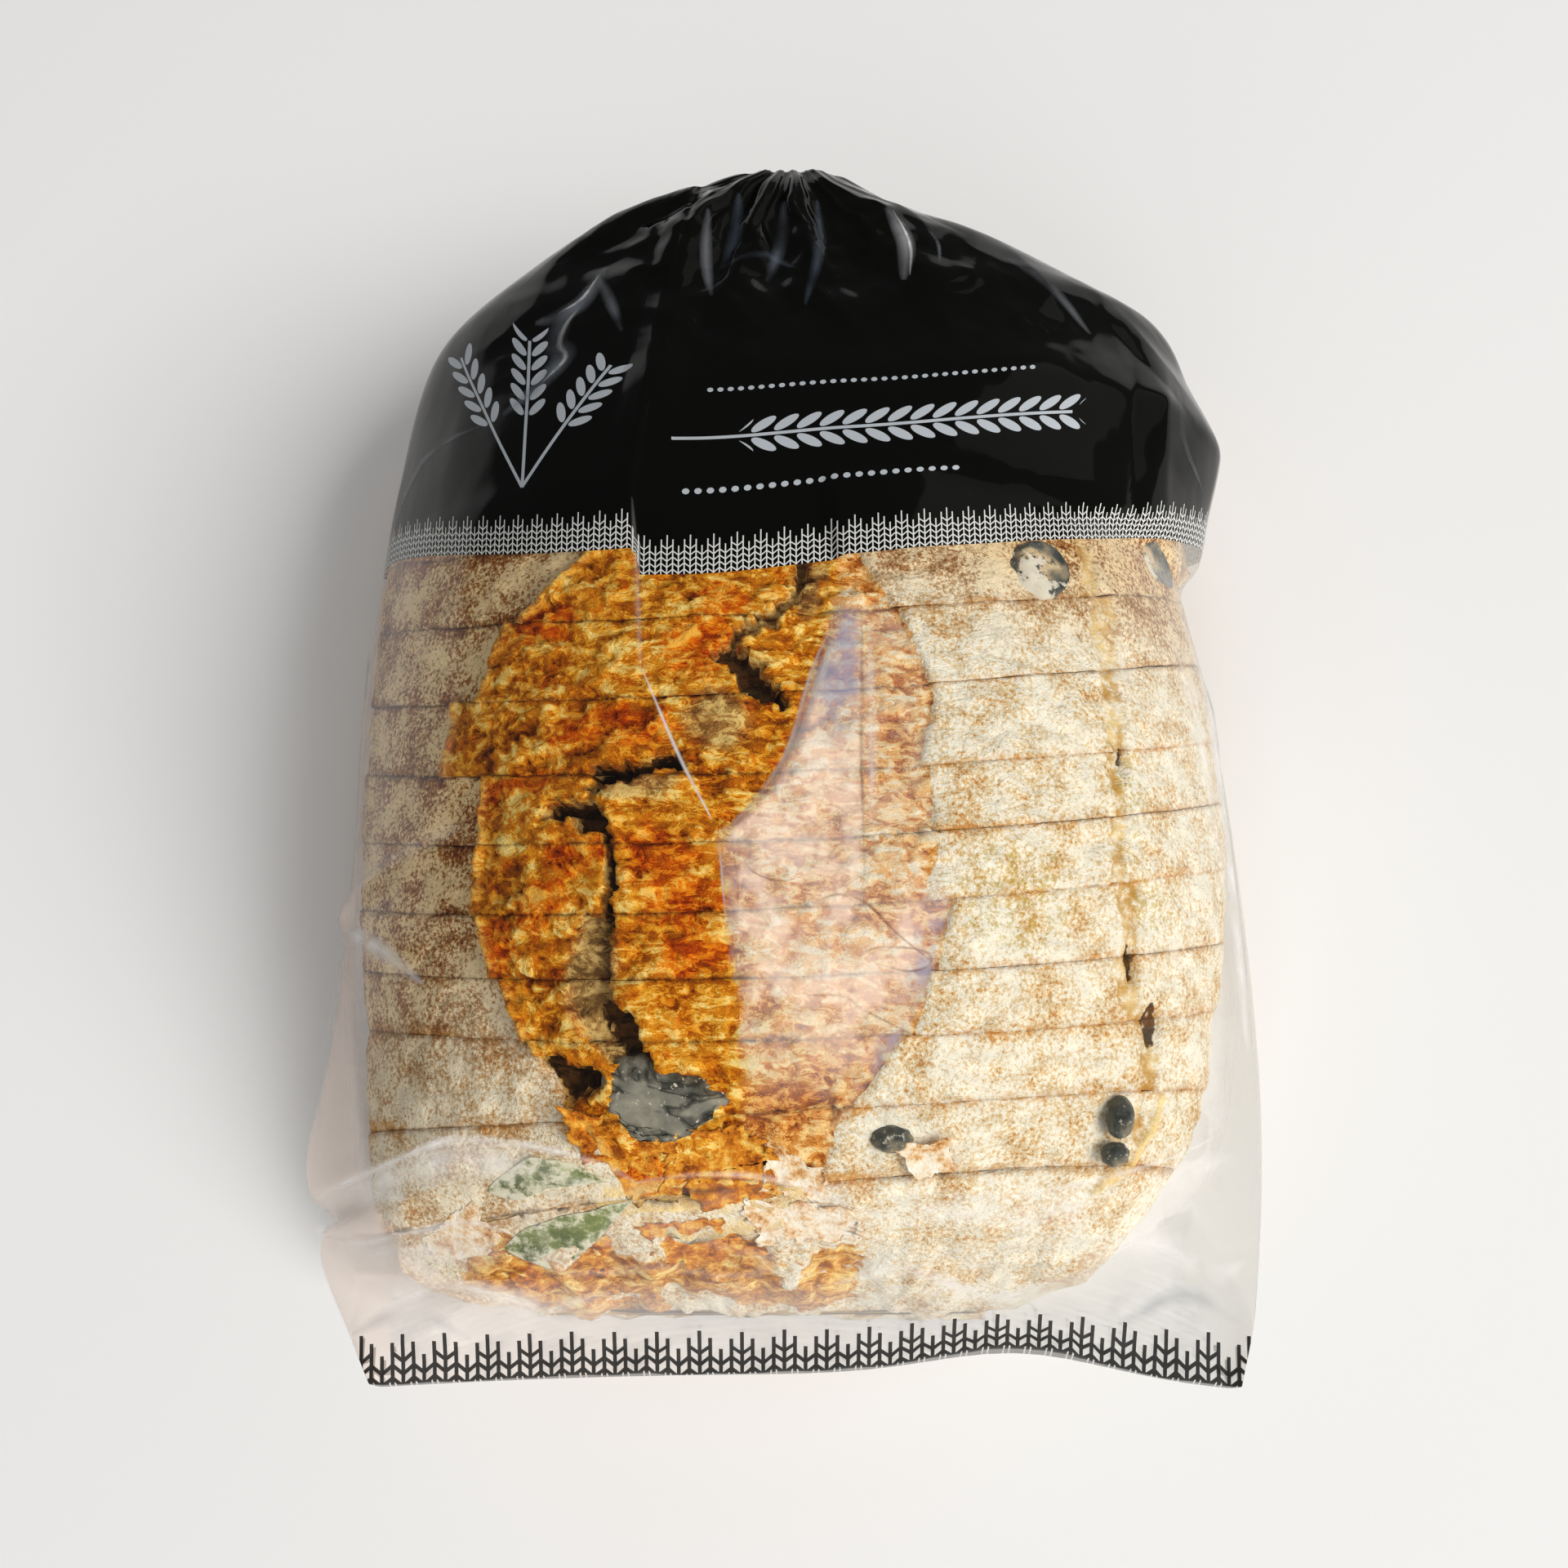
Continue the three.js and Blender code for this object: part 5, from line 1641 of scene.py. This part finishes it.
def loaf_over(x, y):
    """The smooth loaf's height above a point in plan."""
    left, right, crest = keyed(LOAF_LEFT, y), keyed(LOAF_RIGHT, y), keyed(LOAF_CREST, y)
    belly = np.minimum(LOAF_BELLY, BELLY_SHARE * crest)
    s = np.clip(np.abs(2 * x - left - right) / (right - left), 0, 1)
    return belly + (crest - belly) * (1 - s ** LOAF_DOME_POWER) ** LOAF_DOME_ROUNDNESS


def olive_form(olive, index, ball):
    """A ball of radius 1 as a baked olive in its place: a little folded, and the large one shrivelled."""
    folds = 0.08 * layered_noise(ball * 10, 5.0, 3, 121 + index) - 0.05 * np.abs(noise(ball * 10, 6.0, 125))
    if olive.half_sizes[0] > LARGE_OLIVE:
        folds += 0.3 * noise(ball * 10, 11.0, 133) - 0.2 * np.abs(noise(ball * 10, 4.5, 135))
    height = float(loaf_over(*np.array(olive.place, float)[:, None])[0])
    ball = ball * (1 + folds[:, None]) * olive.half_sizes
    ball += (*olive.place, height + olive.half_sizes[2] * (0.5 - olive.sunk))
    ball[:, 2] = np.minimum(ball[:, 2], film_over(ball[:, 0], ball[:, 1]) - TOPPING_CLEARANCE)
    return ball


def paint_olives(mesh):
    """Which olives are grey, and where one shows its cut core or carries flour."""
    places = vertex_places(mesh)[:, :2] * PER_METRE - SHIFT[:2]
    core, dust, grey = np.zeros((3, len(places)))
    blot = layered_noise(in_plan(*places.T), 4.5, 3, 137)
    for olive in OLIVES:
        aside = (places - olive.place) / olive.half_sizes[:2]
        away = np.hypot(aside[:, 0], aside[:, 1])
        mine = away < OLIVE_REACH
        if olive.dust > CUT_OLIVE_DUST:
            core[mine] = (1 - smoothstep(0.4, 0.7, away + 0.3 * blot))[mine]
            dust[mine] = (0.1 + 1.5 * smoothstep(0.1, -0.8, aside[:, 1] + 0.7 * aside[:, 0] + blot))[mine]
        else:
            core[mine], dust[mine] = 0, olive.dust
        grey[mine] = float(olive.half_sizes[0] > LARGE_OLIVE)
    paint(mesh, "core", core)
    paint(mesh, "dust", dust)
    paint(mesh, "grey", grey)


def build_olives():
    mesh = bpy.data.meshes.new("olives")
    with edited(mesh) as bm:
        for index, olive in enumerate(OLIVES):
            made = bmesh.ops.create_uvsphere(
                bm, u_segments=OLIVE_SEGMENTS, v_segments=OLIVE_RINGS, radius=1.0)
            ball = olive_form(olive, index, np.array([vertex.co[:] for vertex in made["verts"]]))
            for vertex, place in zip(made["verts"], ball):
                vertex.co = Vector((place + SHIFT) * MM)
    paint_olives(mesh)
    dress(add_object("olives", mesh, olive_material()))


# Root and tip in plan, half width, and how far the sides curl up
Leaf = namedtuple("Leaf", "root tip half_width curl")
LEAVES = [
    Leaf((-58, -105.5), (-31, -99.5), 3.6, 1.6),
    Leaf((-61, -96.5), (-36, -96.5), 2.8, 1.4),
]
LEAF_COLUMNS, LEAF_ROWS = 48, 24
LEAF_BEND = 1.8
LEAF_LIFT = 3.4
LEAF_WAVE = 0.9
LEAF_VEIN_HEIGHT, LEAF_VEINS, LEAF_VEIN_SLANT = 0.35, 9, 2.2
LEAF_RIB_DEPTH, LEAF_RIB_WIDTH = 0.5, 0.1
LEAF_THICKNESS = 0.0006


def build_herbs():
    material = herb_material()
    for index, leaf in enumerate(LEAVES):
        mesh, across, along = grid_mesh(f"herb_{index + 1}", LEAF_COLUMNS, LEAF_ROWS)
        run, side = across / LEAF_COLUMNS, 2 * along / LEAF_ROWS - 1
        start, end = np.array(leaf.root, float), np.array(leaf.tip, float)
        ahead = (end - start) / np.linalg.norm(end - start)
        sideways = np.array([-ahead[1], ahead[0]])
        wide = leaf.half_width * np.sin(math.pi * run ** 0.75)
        tatter = 14 * np.stack([run, side, np.full(len(run), 3.0 * index)], axis=1)
        wide = wide * (1 + 0.3 * layered_noise(tatter, 5.0, 3, 211, 0.5) * np.abs(side) ** 2)
        bend = LEAF_BEND * np.sin(math.pi * run) * (-1) ** (index + 1)
        plan = start + run[:, None] * (end - start) + (side * wide + bend)[:, None] * sideways
        wave = LEAF_WAVE * layered_noise(in_plan(*plan.T), 9.0, 3, 131 + index) + leaf.curl * side ** 2 * 0.5
        vein = LEAF_VEIN_HEIGHT * np.abs(np.sin(LEAF_VEINS * math.pi * run + LEAF_VEIN_SLANT * np.abs(side)))
        rib = LEAF_RIB_DEPTH * np.exp(-(side / LEAF_RIB_WIDTH) ** 2)
        place_vertices(mesh, drape(plan, LEAF_LIFT + wave + vein - rib, LEAF_CLEARANCE))
        paint(mesh, "dust", np.abs(side) ** 1.5 + 0.5 * np.abs(2 * run - 1) ** 2 + 0.35 * index)
        weld(mesh)
        piece = add_object(f"herb_{index + 1}", mesh, material)
        thicken(piece, LEAF_THICKNESS)
        dress(piece)


# Stage

CAMERA_TARGET_MM = (0.0, 0.0, 25.0)
SENSOR_WIDTH_MM = 36.0
CAMERA_FAR_END = 20.0
FLOOR_HALF_SIZE = 6.0
LAMP_TARGET = (0, 0, 0.04)
# Where each lamp hangs and its sizes, in metres, its colour, and whether the film mirrors it
Lamp = namedtuple("Lamp", "place size colour mirrored")
LAMPS = {
    "key": Lamp((2.3, -1.3, 2.3), (2.0, 2.0), (1.0, 0.985, 0.96), False),
    "top": Lamp((-0.2, 0.5, 1.6), (1.4, 1.0), (0.98, 0.99, 1.0), False),
    "front": Lamp((-0.3, -2.2, 1.5), (2.4, 1.2), (1.0, 0.99, 0.98), False),
    "card": Lamp((1.5, 1.45, 0.85), (1.6, 0.9), (1.0, 0.98, 0.95), True),
}


def aim(thing, target):
    direction = Vector(target) - thing.location
    thing.rotation_euler = direction.to_track_quat("-Z", "Y").to_euler()


def add_lamp(name, lamp, power):
    light = bpy.data.lights.new(name, "AREA")
    light.shape = "RECTANGLE"
    light.size, light.size_y = lamp.size
    light.energy = power
    light.color = lamp.colour
    thing = bpy.data.objects.new(name, light)
    bpy.context.scene.collection.objects.link(thing)
    thing.location = lamp.place
    thing.visible_glossy = lamp.mirrored
    aim(thing, LAMP_TARGET)


def add_camera(settings):
    scene = bpy.context.scene
    camera = bpy.data.cameras.new("camera")
    camera.lens = settings.camera_lens
    camera.sensor_width = SENSOR_WIDTH_MM
    camera.clip_end = CAMERA_FAR_END
    thing = bpy.data.objects.new("camera", camera)
    scene.collection.objects.link(thing)
    target = Vector((np.array(CAMERA_TARGET_MM) + SHIFT * (0, 1, 0)) * MM)
    tilt = settings.camera_elevation
    thing.location = target + settings.camera_distance * Vector((0, -math.cos(tilt), math.sin(tilt)))
    aim(thing, target)
    scene.camera = thing


def build_stage(settings):
    scene = bpy.context.scene
    mesh = bpy.data.meshes.new("floor")
    with edited(mesh) as bm:
        bmesh.ops.create_grid(bm, x_segments=2, y_segments=2, size=FLOOR_HALF_SIZE)
    floor = bpy.data.objects.new("floor", mesh)
    scene.collection.objects.link(floor)
    mesh.materials.append(floor_material(settings))
    add_camera(settings)
    for name, lamp in LAMPS.items():
        add_lamp(name, lamp, getattr(settings, f"{name}_power"))

    world = bpy.data.worlds.new("studio")
    world.use_nodes = True
    background = world.node_tree.nodes["Background"]
    background.inputs["Color"].default_value = (1.0, 1.0, 1.0, 1.0)
    background.inputs["Strength"].default_value = settings.world_strength
    scene.world = world
    scene.view_settings.view_transform = "Standard"
    scene.view_settings.exposure = settings.exposure


# Settings

def colour_property(name, description, default):
    return bpy.props.FloatVectorProperty(
        name=name, description=description, subtype="COLOR", size=3, min=0.0, max=1.0, default=default)


def share_property(name, description, default):
    return bpy.props.FloatProperty(
        name=name, description=description, subtype="FACTOR", min=0.0, max=1.0, default=default)


def power_property(name, description, default):
    return bpy.props.FloatProperty(name=name, description=description, unit="POWER", default=default)


class BreadBagFilmSettings(bpy.types.PropertyGroup):
    film_colour: colour_property("Film", "Tint of the clear film's reflections", (0.96, 0.96, 0.97))
    # Haze colours the film's flour dust and its painted sheen; Haze Shade is their cooler painted reflection
    # and shade
    haze_colour: colour_property("Haze", "Colour of the flour dust inside the film", shade(255, 238, 226))
    # The veil's tones are painted by the light: Veil Colour on the shaded left, Veil Shade where more light
    # falls
    veil_colour: colour_property(
        "Veil Colour", "Tone of the loose film beside the loaf", shade(252, 236, 226))
    veil_shade: colour_property(
        "Veil Shade", "Tone of the loose film where more light falls", shade(212, 210, 204))
    haze_shade: colour_property("Haze Shade", "Cooler tone of the dusty film", shade(160, 160, 182))
    print_colour: colour_property("Print", "Colour of the printed field", shade(10, 10, 9))
    design_colour: colour_property("Design", "Colour of the printed design", shade(188, 194, 200))
    border_colour: colour_property("Border", "Colour of the wheat border", shade(226, 226, 222))
    film_reflection: share_property("Reflection", "How much the clear film mirrors seen straight on", 0.03)
    # This strength covers the dust's painted sheen as well
    haze_strength: share_property("Haze Strength", "How much the dusty film hides", 0.54)
    veil_strength: share_property("Veil", "How much the loose film beside the loaf hides", 0.5)


class BreadBagLoafSettings(bpy.types.PropertyGroup):
    # The Shade tones come in at the left and the back of the loaf: thinner flour and painted shade
    flour_colour: colour_property("Flour", "Lightest tone of the floured crust", shade(248, 240, 218))
    flour_shade: colour_property("Flour Shade", "The flour where it lies thin", shade(242, 212, 158))
    crust_colour: colour_property("Crust", "Crust between the flour", shade(226, 198, 150))
    crust_shade: colour_property(
        "Crust Shade", "Crust between the flour where it lies thin", shade(158, 98, 38))
    speck_colour: colour_property("Specks", "Darkest specks of the crust", shade(196, 138, 76))
    speck_shade: colour_property(
        "Speck Shade", "Darkest specks where the flour lies thin", shade(104, 46, 20))
    seed: bpy.props.IntProperty(name="Seed", description="Draw of the slices' small shifts", default=4)


class BreadBagStageSettings(bpy.types.PropertyGroup):
    floor_colour: colour_property("Floor", "Colour of the floor", (0.9, 0.9, 0.9))
    camera_elevation: bpy.props.FloatProperty(
        name="Camera Elevation", description="How steeply the camera looks down", unit="ROTATION",
        default=math.radians(68))
    camera_distance: bpy.props.FloatProperty(
        name="Camera Distance", description="From the camera to the middle of the bag", unit="LENGTH",
        default=0.8)
    camera_lens: bpy.props.FloatProperty(name="Lens", description="Focal length in millimetres", default=83.7)
    key_power: power_property("Key", "Key light", 116.0)
    top_power: power_property("Top", "Light from above", 4.0)
    front_power: power_property("Front", "Light at the seam", 16.0)
    card_power: power_property("Card", "Card at the back right, which the print mirrors", 1.6)
    world_strength: bpy.props.FloatProperty(name="World", description="Light from all round", default=0.12)
    exposure: bpy.props.FloatProperty(name="Exposure", description="Stops added to the picture", default=0.0)


# Operators and panel

class BREADBAG_OT_stage(bpy.types.Operator):
    """Adds the floor, the lights and the camera"""
    bl_idname = "bread_bag.stage"
    bl_label = "Add Stage"

    def execute(self, context):
        build_stage(context.scene.bread_bag_stage)
        return {"FINISHED"}


class BREADBAG_OT_film(bpy.types.Operator):
    """Adds the printed film bag"""
    bl_idname = "bread_bag.film"
    bl_label = "Add Film Bag"

    def execute(self, context):
        build_film(context.scene.bread_bag_film)
        return {"FINISHED"}


class BREADBAG_OT_folds(bpy.types.Operator):
    """Adds painted highlights and painted shade along the sharp folds and creases on the film"""
    bl_idname = "bread_bag.folds"
    bl_label = "Add Film Folds"

    def execute(self, context):
        build_folds()
        return {"FINISHED"}


class BREADBAG_OT_flakes(bpy.types.Operator):
    """Adds the loose flakes of crust at the front of the loaf"""
    bl_idname = "bread_bag.flakes"
    bl_label = "Add Crust Flakes"

    def execute(self, context):
        build_flakes()
        return {"FINISHED"}


class BREADBAG_OT_loaf(bpy.types.Operator):
    """Adds the slices of the loaf"""
    bl_idname = "bread_bag.loaf"
    bl_label = "Add Loaf"

    def execute(self, context):
        build_loaf(context.scene.bread_bag_loaf)
        return {"FINISHED"}


class BREADBAG_OT_olives(bpy.types.Operator):
    """Adds the olives baked into the crust"""
    bl_idname = "bread_bag.olives"
    bl_label = "Add Olives"

    def execute(self, context):
        build_olives()
        return {"FINISHED"}


class BREADBAG_OT_herbs(bpy.types.Operator):
    """Adds the floured leaves at the front of the loaf"""
    bl_idname = "bread_bag.herbs"
    bl_label = "Add Herb Leaves"

    def execute(self, context):
        build_herbs()
        return {"FINISHED"}


class BREADBAG_PT_panel(bpy.types.Panel):
    """Lists the bread bag's operators and settings"""
    bl_label = "Bread Bag"
    bl_idname = "BREADBAG_PT_panel"
    bl_space_type = "VIEW_3D"
    bl_region_type = "UI"
    bl_category = "Bread Bag"

    def draw(self, context):
        column = self.layout.column()
        for operator in OPERATORS:
            column.operator(operator.bl_idname)
        for name in SETTINGS:
            group = getattr(context.scene, name)
            for setting in group.__annotations__:
                column.prop(group, setting)


OPERATORS = (BREADBAG_OT_stage, BREADBAG_OT_loaf, BREADBAG_OT_flakes, BREADBAG_OT_olives, BREADBAG_OT_herbs,
             BREADBAG_OT_film, BREADBAG_OT_folds)
SETTINGS = {
    "bread_bag_film": BreadBagFilmSettings,
    "bread_bag_loaf": BreadBagLoafSettings,
    "bread_bag_stage": BreadBagStageSettings,
}
CLASSES = (*SETTINGS.values(), *OPERATORS, BREADBAG_PT_panel)


def register():
    for cls in CLASSES:
        bpy.utils.register_class(cls)
    for name, group in SETTINGS.items():
        setattr(bpy.types.Scene, name, bpy.props.PointerProperty(type=group))


def unregister():
    for name in SETTINGS:
        delattr(bpy.types.Scene, name)
    for cls in reversed(CLASSES):
        bpy.utils.unregister_class(cls)


def main():
    register()
    bpy.ops.bread_bag.stage()
    bpy.ops.bread_bag.loaf()
    bpy.ops.bread_bag.flakes()
    bpy.ops.bread_bag.olives()
    bpy.ops.bread_bag.herbs()
    bpy.ops.bread_bag.film()
    bpy.ops.bread_bag.folds()


if __name__ == "__main__":
    main()
